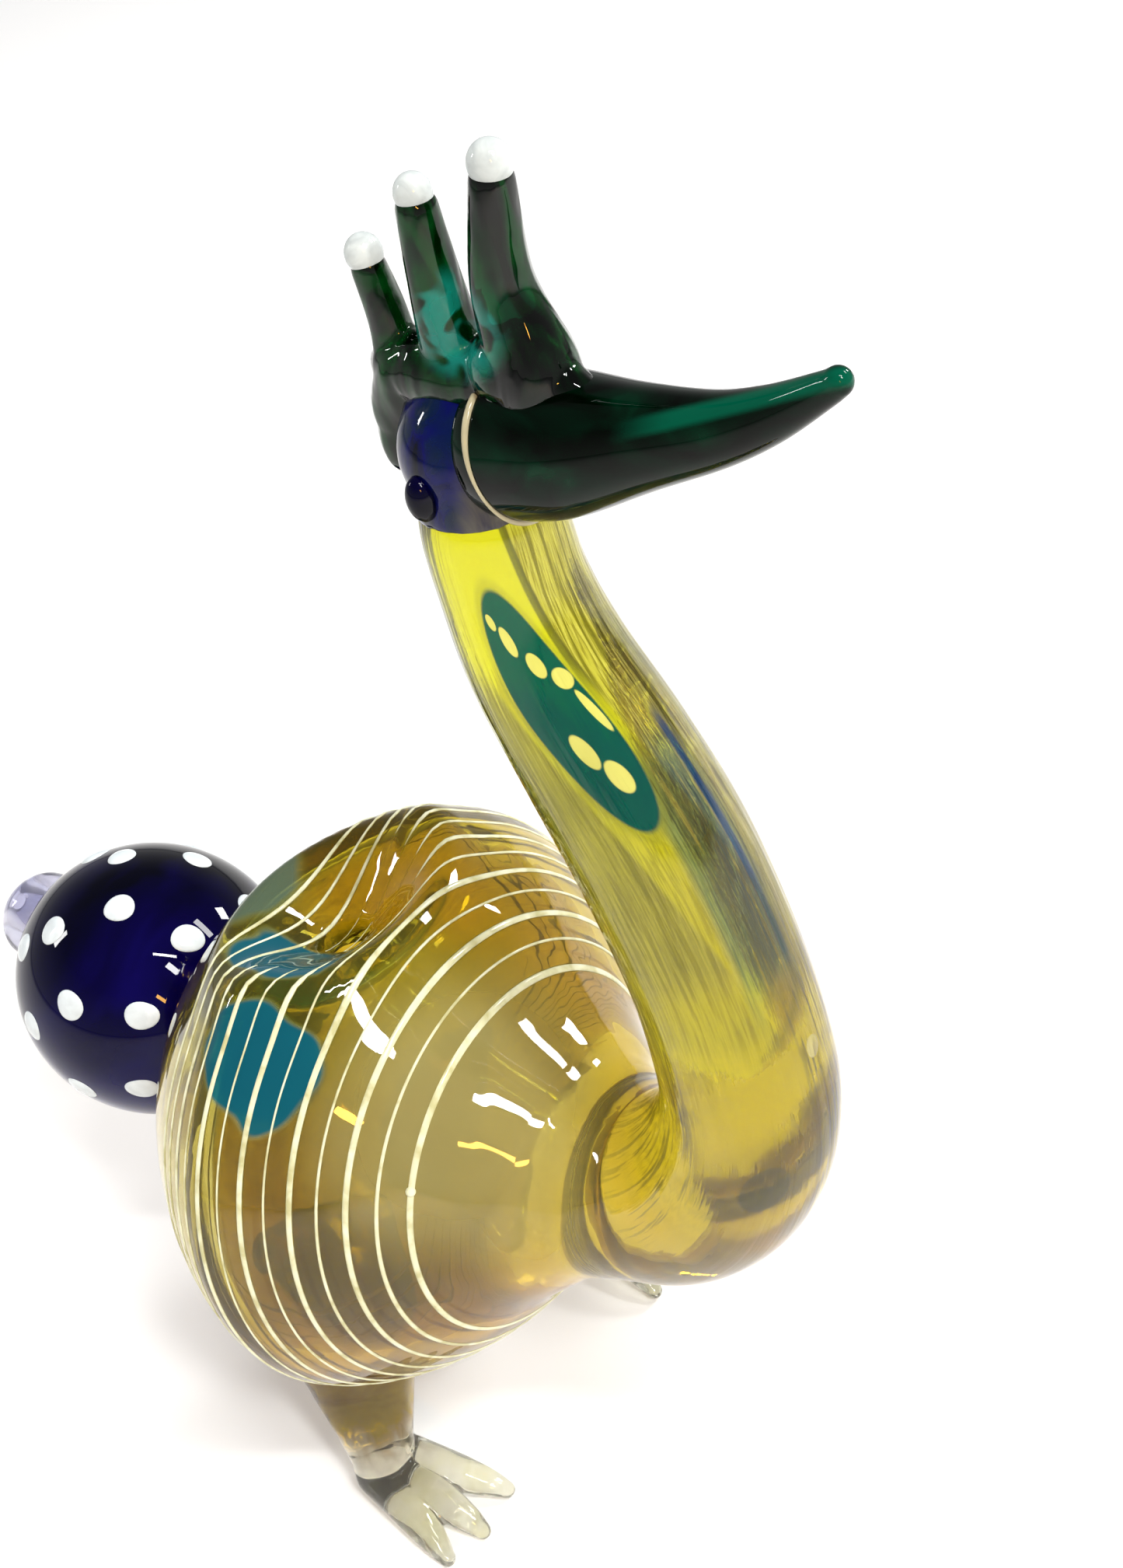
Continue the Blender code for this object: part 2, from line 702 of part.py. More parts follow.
def build():
    clear_scene()
    amber = glass("amber_glass", (0.62, 0.46, 0.10))
    yellow = glass("yellow_glass", (0.80, 0.70, 0.10))
    clear = glass("clear_glass", (0.93, 0.94, 0.90))
    cobalt = glass("cobalt_glass", (0.01, 0.01, 0.12), transmission=0.3)
    violet = glass("violet_glass", (0.05, 0.05, 0.22), transmission=0.4)
    green = glass("green_glass", (0.01, 0.16, 0.08), transmission=0.5)
    white = glass("white_glass", (0.86, 0.88, 0.86), 0.15, 0.0)
    cream = glass("cream_glass", (0.80, 0.80, 0.66), 0.15, 0.0)
    body_bulb(amber)
    body_trail(cream)
    chest_bend(amber)
    neck_rod(yellow)
    head_ball(violet)
    beak_seam(cream)
    beak(green)
    crest_base(green)
    for which in PRONGS:
        crest_prong(which, green)
        crest_bead(which, white)
    eye(-1, "eye_right", cobalt)
    eye(1, "eye_left", cobalt)
    tail_bulb(cobalt)
    tail_mouth(clear)
    tail_dots(white)
    leg(-1, "leg_right", amber)
    leg(1, "leg_left", amber)
    foot(-1, "foot_right", clear)
    foot(1, "foot_left", clear)
    centre_length()
    smooth_all()


build()
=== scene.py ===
"""Looks of the lampworked glass bird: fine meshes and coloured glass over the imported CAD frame."""
import math

import bmesh
import bpy
from mathutils import Matrix, Vector
from mathutils.kdtree import KDTree


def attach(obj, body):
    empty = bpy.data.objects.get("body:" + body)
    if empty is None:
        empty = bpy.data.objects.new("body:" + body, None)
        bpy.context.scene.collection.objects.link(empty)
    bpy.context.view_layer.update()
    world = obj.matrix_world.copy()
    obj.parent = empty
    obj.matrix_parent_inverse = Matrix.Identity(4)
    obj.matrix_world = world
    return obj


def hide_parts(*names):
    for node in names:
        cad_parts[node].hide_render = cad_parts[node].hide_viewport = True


MM = 0.001
SLIDE = -0.713                   # the drawing's x counts from under the body; the CAD slides it by this
AROUND = 112                     # vertices round the body, chest and neck

# sizes here are in millimetres and degrees; the lights' are in metres
# body: axis tipped up towards the chest, widest ring at BODY_AT (x, z)
BODY_AT = (2.8, 39.0)
BODY_TIP_UP = 5.0
BODY_RADIUS = 25.7
BODY_REAR = 22.8
BODY_FRONT = 18.9
BODY_FULLNESS = 1.36
BODY_WALL = 2.6
HOLLOW_END = 16.6                # the hollow closes short of the solid throat
HOLLOW_TAPER = 0.8               # extra wall at the tail joint
THROAT_RADIUS = 8.2
THROAT_AT = 19.0
FLOW_START = 13.5                # where the body's outline begins to run into the chest
FLOW_EXTRA = 2.2                 # how much fuller the throat is than the plain chest
FLOW_FADE = 2.6                  # and over what length that dies away
TAIL_JOINT_RADIUS = 6.6
TAIL_JOINT_AT = -21.6

BOWL_X = 0.2
BOWL_LENGTH = 15.0
BOWL_WIDTH = 21.0
BOWL_DEPTH = 7.5
BOWL_EDGE = 1.12                 # where the bowl ends, as a share of its half length and half width
BOWL_LIP = 0.7
BOWL_LIP_SPREAD = 0.22
BOWL_HOLE_RADIUS = 2.0

TRAIL_TURNS = 13
TRAIL_FRONT = 14.2
TRAIL_REAR = -7.0
BOWL_TURN = 10.0                 # from this turn on the trail runs through the bowl

NECK_LINE = ((21.8, 40.7), (26.2, 41.4), (30.9, 43.3), (34.9, 47.4), (37.9, 52.7), (39.5, 58.4),
             (39.6, 64.0), (38.6, 71.5), (36.3, 80.0), (33.4, 87.0), (30.4, 93.5), (29.0, 99.0),
             (28.6, 104.4), (28.7, 107.0))
NECK_RADII = (8.15, 7.75, 7.6, 7.3, 6.8, 6.4, 6.2, 6.0, 5.9, 5.6, 5.1, 4.6, 4.3, 3.0)
NECK_STEPS = 8                   # rings per span of NECK_LINE
CHEST_SKIP = 2                   # rings of the chest left out, as they would lie within the body

# head, beak and crest; a prong is its root, middle and top (x, z), the radii there, and its bead's radius
HEAD_AT = (28.8, 108.4)
HEAD_RADIUS = 4.6
BEAK_LINE = ((32.4, 109.1), (35.8, 109.7), (41.0, 110.9), (45.6, 112.1), (49.0, 113.5),
             (52.2, 115.3), (53.1, 115.9))
BEAK_RADII = (4.35, 4.1, 2.9, 2.05, 1.5, 0.95, 0.8)
PRONGS = {
    "front": ((34.4, 114.2), (33.5, 118.8), (34.3, 124.3), 2.5, 1.25, 1.22),
    "middle": ((28.9, 112.5), (28.7, 118.5), (28.7, 122.4), 2.0, 1.2, 1.08),
    "rear": ((23.6, 109.0), (24.5, 114.6), (24.0, 118.6), 1.7, 1.05, 1.1),
}
CREST_BASE_AT = (28.3, 113.0)
CREST_BASE_SIZE = (5.8, 2.4, 2.3)
EYE_AT = (28.0, 4.5, 107.3)
EYE_SIZE = (0.95, 0.9, 1.45)

# tail; a row of dots is its latitude, how many there are, and the angle of the first
TAIL_WAIST = 2.15                # narrow place between body and tail bulb
TAIL_TIP_UP = 6.0
TAIL_HALF_LENGTH = 14.0
TAIL_RADIUS = 13.1
MOUTH_RADIUS = 4.6
MOUTH_SWELL = 0.6                # how much thinner the mouth is where it joins the bulb
MOUTH_LENGTH = 7.0
MOUTH_BORE = 1.6
DOT_ROWS = ((36.0, 8, -3.0), (7.0, 8, -10.0), (-15.0, 8, 14.0), (-33.0, 6, 44.0))
DOT_RADIUS = 1.5

# legs and feet: (x, y, z, radius) down one leg, and where the toes end (x, y)
LEG_LINE = ((-6.0, 9.0, 23.0, 9.4), (-3.2, 12.5, 14.2, 6.1), (0.4, 16.3, 5.8, 3.3), (0.5, 16.8, 3.0, 2.95),
            (0.5, 16.9, 1.4, 2.7))
TOE_TIPS = ((12.0, 20.7), (13.2, 16.9), (12.7, 12.5))
HEEL_AT = (0.3, 16.9)

CAMERA_AT = (95.75, -67.68, 157.94)
CAMERA_AZIMUTH = 45.0            # degrees round from -Y towards +X
CAMERA_ELEVATION = 38.0
CAMERA_ROLL = 14.0
CAMERA_LENS = 42.84
CAMERA_SENSOR = 36.0

# directions on the neck, as (left, up round the ring): across what the camera sees, and towards the camera
NECK_ACROSS = (0.59, -0.807, 0.0)
NECK_FACING = (-0.807, -0.59, 0.0)
BODY_CLEARNESS = 0.92            # transmission of the body's glass where nothing clouds it


# ---------------------------------------------------------------- meshes

def at(x, y, z):
    """A point of the drawing, in metres in the frame."""
    return Vector(((x + SLIDE) * MM, y * MM, z * MM))


def spoke(angle, up):
    """Unit direction away from an axis in the bird's middle plane: 0 is to its left, 90 degrees is `up`."""
    return math.cos(angle) * Vector((0, 1, 0)) + math.sin(angle) * up


def new_object(name, verts, faces):
    """A smooth-shaded object with its faces outwards."""
    mesh = bpy.data.meshes.new(name)
    mesh.from_pydata([tuple(at(*v)) for v in verts], [], faces)
    mesh.update()
    obj = bpy.data.objects.new(name, mesh)
    bpy.context.scene.collection.objects.link(obj)
    bm = bmesh.new()
    bm.from_mesh(mesh)
    bmesh.ops.recalc_face_normals(bm, faces=bm.faces)
    if bm.calc_volume(signed=True) < 0:
        bmesh.ops.reverse_faces(bm, faces=bm.faces)
    bm.to_mesh(mesh)
    bm.free()
    for poly in mesh.polygons:
        poly.use_smooth = True
    return obj


def add_piece(obj, mat, slot, *nodes):
    """Give the piece its glass, its body and the CAD nodes it stands for; its slot is not used."""
    obj.data.materials.clear()
    obj.data.materials.append(mat)
    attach(obj, "root")
    if nodes:
        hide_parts(*nodes)
    return obj


def ring_faces(rings, count, first=0):
    """Quads between rings of `count` vertices, the first ring starting at vertex `first`."""
    faces = []
    for i in range(rings - 1):
        a = first + i * count
        b = a + count
        for j in range(count):
            k = (j + 1) % count
            faces.append((a + j, a + k, b + k, b + j))
    return faces


def capped_rings(verts, count):
    """Faces of a ring surface with a fan at each end; the first and last vertex are the poles."""
    last = len(verts) - 1
    faces = ring_faces((last - 1) // count, count, 1)
    for j in range(count):
        k = (j + 1) % count
        faces.append((0, 1 + k, 1 + j))
        faces.append((last - count + j, last - count + k, last))
    return faces


def catmull(points, steps):
    """Smooth chain of tuples through the given ones, `steps` per span."""
    chain = []
    n = len(points)
    for i in range(n - 1):
        p0, p1 = points[max(i - 1, 0)], points[i]
        p2, p3 = points[i + 1], points[min(i + 2, n - 1)]
        for k in range(steps):
            t = k / steps
            chain.append(tuple(
                0.5 * (2 * b + (c - a) * t + (2 * a - 5 * b + 4 * c - d) * t * t
                       + (3 * b - a - 3 * c + d) * t ** 3)
                for a, b, c, d in zip(p0, p1, p2, p3)))
    chain.append(tuple(points[-1]))
    return chain


def swept(line, around, round_start=True, round_end=True):
    """Rings round a chain of (x, y, z, radius), closed by rounded or flat ends."""
    line = list(line)
    if round_end:
        line += cap_points(line[-2], line[-1])
    if round_start:
        line = cap_points(line[1], line[0])[::-1] + line
    verts = [tuple(line[0][:3])]
    side = None
    for i, (x, y, z, radius) in enumerate(line):
        a = Vector(line[max(i - 1, 0)][:3])
        b = Vector(line[min(i + 1, len(line) - 1)][:3])
        along = (b - a).normalized()
        if side is None:
            side = along.orthogonal() if abs(along.y) > 0.9 else Vector((0, 1, 0))
        side = (side - along * side.dot(along)).normalized()
        other = along.cross(side)
        for j in range(around):
            p = 2 * math.pi * j / around
            verts.append(tuple(Vector((x, y, z)) + radius * (math.cos(p) * side + math.sin(p) * other)))
    verts.append(tuple(line[-1][:3]))
    return verts, capped_rings(verts, around)


def cap_points(before, end):
    """Points of a round end, past the end of a chain of (x, y, z, radius)."""
    along = (Vector(end[:3]) - Vector(before[:3])).normalized()
    out = []
    for t in (0.2, 0.4, 0.58, 0.74, 0.86, 0.94, 0.985):
        c = Vector(end[:3]) + along * end[3] * t
        out.append((*c, end[3] * math.sqrt(1 - t * t)))
    return out


def ball(centre, size, around=48, up=24):
    """An ellipsoid with these half axes."""
    verts = [(centre[0], centre[1], centre[2] - size[2])]
    for i in range(1, up):
        t = -math.pi / 2 + math.pi * i / up
        for j in range(around):
            p = 2 * math.pi * j / around
            verts.append((centre[0] + size[0] * math.cos(t) * math.cos(p),
                          centre[1] + size[1] * math.cos(t) * math.sin(p),
                          centre[2] + size[2] * math.sin(t)))
    verts.append((centre[0], centre[1], centre[2] + size[2]))
    return verts, capped_rings(verts, around)


def plane_line(points, radii, steps):
    """A chain in the bird's middle plane from (x, z) points and the radii there."""
    return catmull([(x, 0.0, z, r) for (x, z), r in zip(points, radii)], steps)


def apply_modifiers(obj):
    """Put the modifiers' result into the mesh and drop them."""
    depsgraph = bpy.context.evaluated_depsgraph_get()
    mesh = bpy.data.meshes.new_from_object(obj.evaluated_get(depsgraph))
    obj.modifiers.clear()
    obj.data = mesh
    for poly in mesh.polygons:
        poly.use_smooth = True


def cut(obj, cutter):
    """Take the cutter's space out of the object and remove the cutter."""
    mod = obj.modifiers.new("cut", "BOOLEAN")
    mod.operation = "DIFFERENCE"
    mod.solver = "EXACT"
    mod.object = cutter
    apply_modifiers(obj)
    bpy.data.objects.remove(cutter, do_unlink=True)


def melt(name, shapes, voxel, smoothing):
    """Fuse several solids into one and let the creases run, as hot glass does."""
    verts, faces = [], []
    for part_verts, part_faces in shapes:
        first = len(verts)
        verts += part_verts
        faces += [tuple(first + i for i in face) for face in part_faces]
    obj = new_object(name, verts, faces)
    remesh = obj.modifiers.new("fuse", "REMESH")
    remesh.mode = "VOXEL"
    remesh.voxel_size = voxel * MM
    remesh.use_smooth_shade = True
    soften = obj.modifiers.new("soften", "SMOOTH")
    soften.factor = 0.5
    soften.iterations = smoothing
    apply_modifiers(obj)
    return obj


# ---------------------------------------------------------------- body, chest and neck in one piece

def body_frame():
    """Middle of the body's widest ring, and the directions along its axis and up from it."""
    t = math.radians(BODY_TIP_UP)
    along = Vector((math.cos(t), 0, math.sin(t)))
    up = Vector((-math.sin(t), 0, math.cos(t)))
    return Vector((BODY_AT[0], 0, BODY_AT[1])), along, up


def body_radius(s):
    """Radius of the bulb at s along its axis; it runs out into the throat and the tail's joint."""
    reach = BODY_FRONT if s > 0 else BODY_REAR
    bulb = BODY_RADIUS * math.sqrt(max(1 - (abs(s) / reach) ** BODY_FULLNESS, 0))
    end = THROAT_RADIUS if s > 0 else TAIL_JOINT_RADIUS
    end *= min(max((abs(s) - 8) / 10, 0), 1)
    return (bulb ** 4 + end ** 4) ** 0.25


def flowing_radius(s):
    """The body's outline with its front run smoothly into the chest."""
    if s < FLOW_START:
        return body_radius(s)
    t = (s - FLOW_START) / (THROAT_AT - FLOW_START)
    span = THROAT_AT - FLOW_START
    start = body_radius(FLOW_START)
    slope = (start - body_radius(FLOW_START - 0.1)) / 0.1
    end, end_slope = THROAT_RADIUS + FLOW_EXTRA, -FLOW_EXTRA / FLOW_FADE
    return (start * (2 * t ** 3 - 3 * t * t + 1) + slope * span * (t ** 3 - 2 * t * t + t)
            + end * (3 * t * t - 2 * t ** 3) + end_slope * span * (t ** 3 - t * t))


def hollow_radius(s):
    """Radius of the blown bubble inside; it closes before the throat and opens into the tail."""
    if s > 0:
        return (BODY_RADIUS - BODY_WALL) * math.sqrt(max(1 - (s / HOLLOW_END) ** BODY_FULLNESS, 0.0001))
    return body_radius(s) - BODY_WALL - HOLLOW_TAPER * (s / TAIL_JOINT_AT) ** 4


def from_bowl(p):
    """How far a point is from the bowl's middle, as a share of the bowl's half length and half width."""
    return math.hypot(2 * (p.x - BOWL_X) / BOWL_LENGTH, 2 * p.y / BOWL_WIDTH)


def press(p):
    """Push a point of the back down into the bowl, with a low lip round it."""
    if p.z < BODY_AT[1] + 6:
        return p
    e = from_bowl(p)
    sink = BOWL_DEPTH * 0.5 * (1 + math.cos(math.pi * min(e / BOWL_EDGE, 1)))
    lip = BOWL_LIP * math.exp(-((e - BOWL_EDGE) / BOWL_LIP_SPREAD) ** 2)
    return Vector((p.x, p.y, p.z - sink + lip))


def body_point(s, angle, radius=None):
    """A point of the body's outside, or at another radius of a surface pressed in with it."""
    origin, along, up = body_frame()
    r = flowing_radius(s) if radius is None else radius
    return press(origin + along * s + r * spoke(angle, up))


def blown_body():
    """Body, chest and neck run together; the hollow inside ends before the throat.

    Each vertex also keeps its place on the straightened bird, (left, up, mm along), for the neck's lines.
    """
    angles = [2 * math.pi * j / AROUND for j in range(AROUND)]
    verts, straight = [], []
    stations = 110
    for i in range(stations + 1):
        c = -math.cos(math.pi * i / stations)
        s = c * (THROAT_AT if c > 0 else -TAIL_JOINT_AT)
        for angle in angles:
            verts.append(tuple(body_point(s, angle)))
            straight.append((math.cos(angle), math.sin(angle), s))
    chest = plane_line(NECK_LINE, NECK_RADII, NECK_STEPS)[CHEST_SKIP:]
    arc = THROAT_AT
    origin, body_along, _ = body_frame()
    before = origin + body_along * THROAT_AT
    for i, (x, y, z, r) in enumerate(chest):
        a = Vector(chest[max(i - 1, 0)][:3])
        b = Vector(chest[min(i + 1, len(chest) - 1)][:3])
        other = (b - a).normalized().cross(Vector((0, 1, 0)))
        here = Vector((x, y, z))
        arc += (here - before).length
        before = here
        flow = FLOW_EXTRA * math.exp((THROAT_AT - arc) / FLOW_FADE)
        for angle in angles:
            verts.append(tuple(here + (r + flow) * spoke(angle, other).normalized()))
            straight.append((math.cos(angle), math.sin(angle), arc))
    faces = ring_faces(len(verts) // AROUND, AROUND)
    faces.append(tuple(range(len(verts) - AROUND, len(verts))))
    first = len(verts)
    hollow_rings = 90
    for i in range(hollow_rings + 1):
        t = 0.5 - 0.5 * math.cos(math.pi * i / hollow_rings)
        s = TAIL_JOINT_AT + (HOLLOW_END - TAIL_JOINT_AT) * t
        for angle in angles:
            verts.append(tuple(body_point(s, angle, hollow_radius(s))))
            straight.append((math.cos(angle), math.sin(angle), s))
    faces += ring_faces(hollow_rings + 1, AROUND, first)
    faces.append(tuple(range(len(verts) - AROUND, len(verts))))
    for j in range(AROUND):
        k = (j + 1) % AROUND
        faces.append((j, k, first + k, first + j))
    obj = new_object("blown_body_and_neck", verts, faces)
    places = KDTree(len(verts))
    for i, vert in enumerate(verts):
        places.insert(at(*vert), i)
    places.balance()
    cut(obj, bowl_hole())
    layer = obj.data.attributes.new("straight", "FLOAT_VECTOR", "POINT")
    for i, vert in enumerate(obj.data.vertices):
        layer.data[i].vector = straight[places.find(vert.co)[1]]
    return obj


def bowl_hole():
    """The space of the hole in the bowl's floor."""
    floor = BODY_AT[1] + BODY_RADIUS - BOWL_DEPTH
    line = [(BOWL_X, 0, floor - 7, BOWL_HOLE_RADIUS), (BOWL_X, 0, floor + 5, BOWL_HOLE_RADIUS + 0.4)]
    return new_object("bowl_hole", *swept(line, 32, False, False))


# ---------------------------------------------------------------- the trail round the body

def trail_station(turn):
    """How far along the body's axis the trail lies at this turn."""
    return TRAIL_FRONT + (TRAIL_REAR - TRAIL_FRONT) * turn / TRAIL_TURNS


def in_bowl(turn):
    """How much of the trail shows at this turn: only its last turns run on through the bowl."""
    if turn > BOWL_TURN:
        return 1.0
    origin, along, up = body_frame()
    s = trail_station(turn)
    p = origin + along * s + body_radius(s) * spoke(2 * math.pi * turn, up)
    if p.z < BODY_AT[1]:
        return 1.0
    return min(max((from_bowl(p) - 0.72) / 0.25, 0.0), 1.0)


def trail_point(turn, lift, sideways):
    """A point `lift` above the body's surface and `sideways` along the body from the trail's middle."""
    s = trail_station(turn) + sideways
    angle = 2 * math.pi * turn
    p = body_point(s, angle)
    tangent_s = body_point(s + 0.02, angle) - body_point(s - 0.02, angle)
    tangent_a = body_point(s, angle + 0.01) - body_point(s, angle - 0.01)
    normal = tangent_s.cross(tangent_a).normalized()
    if normal.dot(p - body_frame()[0]) < 0:
        normal = -normal
    return p + normal * lift


def trail():
    """The cream trail: a low ridge, thick and thin by turns, that sinks away where in_bowl says so."""
    verts = []
    per_turn = 150
    total = TRAIL_TURNS * per_turn
    profile = ((-1.0, -0.1), (-0.75, 0.03), (-0.3, 0.08), (0.3, 0.08), (0.75, 0.03), (1.0, -0.1),
               (0.0, -0.16))
    for i in range(total + 1):
        turn = i / per_turn
        half = 0.16 + 0.05 * math.sin(math.pi * turn + 0.6) + 0.025 * math.sin(9.1 * turn)
        ends = min(i / 6.0, (total - i) / 30.0, 1.0) * in_bowl(turn)
        half *= max(ends, 0.08)
        sunk = 0.1 * max(1.0 - 4.0 * ends, 0.0)
        for side, lift in profile:
            verts.append(tuple(trail_point(turn, lift * max(ends, 0.3) - sunk, side * half)))
    faces = ring_faces(total + 1, len(profile))
    faces.append(tuple(range(len(profile)))[::-1])
    faces.append(tuple(range(len(verts) - len(profile), len(verts))))
    return new_object("wound_trail", verts, faces)


def trail_start_dot():
    """The small stray dot of cream next to the trail's first turn."""
    p = body_point(13.5, math.radians(148.5))
    return ball(tuple(p), (0.42, 0.42, 0.42), 16, 10)


# ---------------------------------------------------------------- head, beak, crest

def head_shape():
    """The head: a ball that runs down into a collar over the neck."""
    neck_top = (28.75, 0.0, 106.0, 4.5)
    collar = (28.8, 0.0, 105.0, 4.42)
    crown = (HEAD_AT[0], 0.0, HEAD_AT[1] + 0.4, 4.4)
    return melt("head_glass", [ball((HEAD_AT[0], 0, HEAD_AT[1]), [HEAD_RADIUS] * 3),
                               swept([collar, neck_top, crown], 40, False, True)], 0.22, 10)


def beak_axis():
    """Where the beak starts, and its direction there."""
    a = Vector((BEAK_LINE[0][0], 0, BEAK_LINE[0][1]))
    b = Vector((BEAK_LINE[1][0], 0, BEAK_LINE[1][1]))
    return a, (b - a).normalized()


def seam_ring():
    """The thin pale bead of glass where beak meets head."""
    centre, along = beak_axis()
    up = along.cross(Vector((0, 1, 0)))
    major, minor = BEAK_RADII[0] + 0.02, 0.17
    verts = []
    turns, around = 72, 10
    for i in range(turns):
        a = 2 * math.pi * i / turns
        out = spoke(a, up)
        thick = minor * (1 + 0.35 * math.sin(3 * a + 1))
        wander = 0.12 * math.sin(2 * a)
        for j in range(around):
            b = 2 * math.pi * j / around
            p = centre + along * (wander - 0.18 + thick * math.sin(b)) + out * (major + thick * math.cos(b))
            verts.append(tuple(p))
    faces = []
    for i in range(turns):
        a = i * around
        b = ((i + 1) % turns) * around
        for j in range(around):
            k = (j + 1) % around
            faces.append((a + j, a + k, b + k, b + j))
    return new_object("beak_seam_bead", verts, faces)


def beak_shape():
    """The beak, its round root set a little back into the head."""
    line = plane_line(BEAK_LINE, BEAK_RADII, 10)
    first = Vector(line[0][:3]) - beak_axis()[1] * 0.2
    line[0] = (*first, line[0][3])
    return new_object("beak_glass", *swept(line, 64, True, True))


def bead_centre(which):
    """The bead sits just past the prong's top, in line with it."""
    _, middle, top, _, _, bead_r = PRONGS[which]
    end = Vector((top[0], 0, top[1]))
    along = (end - Vector((middle[0], 0, middle[1]))).normalized()
    return tuple(end + along * bead_r * 0.8)


def crest_shape():
    """Three drawn prongs melted into one green root with a spine behind and a brow over the beak."""
    shapes = [ball((CREST_BASE_AT[0], 0, CREST_BASE_AT[1]), CREST_BASE_SIZE)]
    for root, middle, top, root_r, top_r, _ in PRONGS.values():
        line = catmull([(root[0], 0, root[1] - 1.5, root_r), (root[0], 0, root[1], root_r),
                        (middle[0], 0, middle[1], (root_r + top_r) / 2 - 0.1), (top[0], 0, top[1], top_r)], 8)
        shapes.append(swept(line, 32, True, True))
    spine = catmull([(24.4, 0, 104.6, 0.9), (23.9, 0, 107.5, 1.3), (23.8, 0, 110.0, 1.9),
                     (25.2, 0, 112.6, 2.1)], 6)
    shapes.append(swept(spine, 32, True, True))
    brow = catmull([(33.0, 0, 114.0, 2.5), (35.4, 0, 113.2, 1.9), (38.0, 0, 112.6, 1.0)], 6)
    shapes.append(swept(brow, 32, True, True))
    return melt("crest_glass", shapes, 0.16, 8)


# ---------------------------------------------------------------- tail

def tail_frame():
    """Middle of the tail's bulb, and the directions along its axis, forwards, and up from it."""
    t = math.radians(TAIL_TIP_UP)
    along = Vector((math.cos(t), 0, -math.sin(t)))
    up = Vector((math.sin(t), 0, math.cos(t)))
    body_origin, body_along, _ = body_frame()
    joint = body_origin + body_along * TAIL_JOINT_AT
    return joint - along * (TAIL_WAIST + tail_end(body_radius(TAIL_JOINT_AT))), along, up


def tail_point(s, angle, radius):
    origin, along, up = tail_frame()
    return origin + along * s + radius * spoke(angle, up)


def tail_radius(s):
    return TAIL_RADIUS * math.sqrt(max(1 - (s / TAIL_HALF_LENGTH) ** 2, 0))


def tail_end(radius):
    """How far from the tail's middle its outline has this radius."""
    return TAIL_HALF_LENGTH * math.sqrt(1 - (radius / TAIL_RADIUS) ** 2)


def tail_lathe(name, outline):
    """A turned piece on the tail's axis, closed at both ends."""
    around = 96
    verts = [tuple(tail_point(outline[0][0], 0, 0.0))]
    for s, r in outline:
        verts += [tuple(tail_point(s, 2 * math.pi * j / around, r)) for j in range(around)]
    verts.append(tuple(tail_point(outline[-1][0], 0, 0.0)))
    return new_object(name, verts, capped_rings(verts, around))


def tail_bulb():
    """The cobalt bulb, from its joint with the body to the mouth."""
    joint = body_radius(TAIL_JOINT_AT)
    front, rear = tail_end(joint), -tail_end(MOUTH_RADIUS - MOUTH_SWELL)
    origin, along, _ = body_frame()
    joint_centre = origin + along * (TAIL_JOINT_AT + 0.05)
    tail_origin, tail_along, _ = tail_frame()
    joint_s = (joint_centre - tail_origin).dot(tail_along)
    outline = [(joint_s, joint - 0.15), (joint_s - 0.9, joint - 0.25)]
    stations = 72
    for i in range(stations + 1):
        s = front + (rear - front) * 0.5 * (1 - math.cos(math.pi * i / stations))
        outline.append((s, tail_radius(s)))
    return tail_lathe("tail_cobalt_bulb", outline)


def tail_mouth():
    """The nipple at the rear: a short swelling with a bore."""
    rear = -tail_end(MOUTH_RADIUS - MOUTH_SWELL)
    outline = [(rear + 0.4, MOUTH_RADIUS - 0.9)]
    stations = 24
    for i in range(stations + 1):
        t = i / stations
        swell = MOUTH_RADIUS - MOUTH_SWELL + MOUTH_SWELL * math.sin(math.pi * min(t * 1.2, 1))
        end = math.sqrt(max(1 - max(t - 0.5, 0) ** 2 * 3.6, 0.02))
        outline.append((rear - MOUTH_LENGTH * t, swell * end))
    outline += [(rear - MOUTH_LENGTH, MOUTH_BORE), (rear - 1.0, MOUTH_BORE)]
    return tail_lathe("tail_mouth_glass", outline)


def tail_dot(number, latitude, angle):
    """A dot melted nearly flush: a low rounded button, a little different each time."""
    origin, along, up = tail_frame()
    s = TAIL_HALF_LENGTH * math.sin(math.radians(latitude))
    centre = tail_point(s, math.pi - math.radians(angle), tail_radius(s))
    normal = (centre - origin).normalized()
    side = normal.cross(Vector((0, 0.3, 1))).normalized()
    other = normal.cross(side)
    rings = ((0.35, 0.285), (0.62, 0.235), (0.83, 0.15), (0.95, 0.07), (1.0, -0.05), (0.9, -0.2))
    around = 28
    verts = [tuple(centre + normal * 0.3)]
    for share, lift in rings:
        for j in range(around):
            p = 2 * math.pi * j / around
            wobble = 1 + 0.05 * math.sin(2 * p + number) + 0.03 * math.sin(3 * p + 2.3 * number)
            out = math.cos(p) * side * 1.06 + math.sin(p) * other * 0.94
            q = centre + DOT_RADIUS * share * wobble * out
            local = q - origin
            a, b, c = local.dot(along), local.y, local.dot(up)
            k = 1 / math.sqrt((a / TAIL_HALF_LENGTH) ** 2 + (b / TAIL_RADIUS) ** 2 + (c / TAIL_RADIUS) ** 2)
            verts.append(tuple(origin + local * k + normal * lift))
    verts.append(tuple(centre - normal * 0.3))
    return new_object("dot_%02d" % number, verts, capped_rings(verts, around))


# ---------------------------------------------------------------- legs and feet

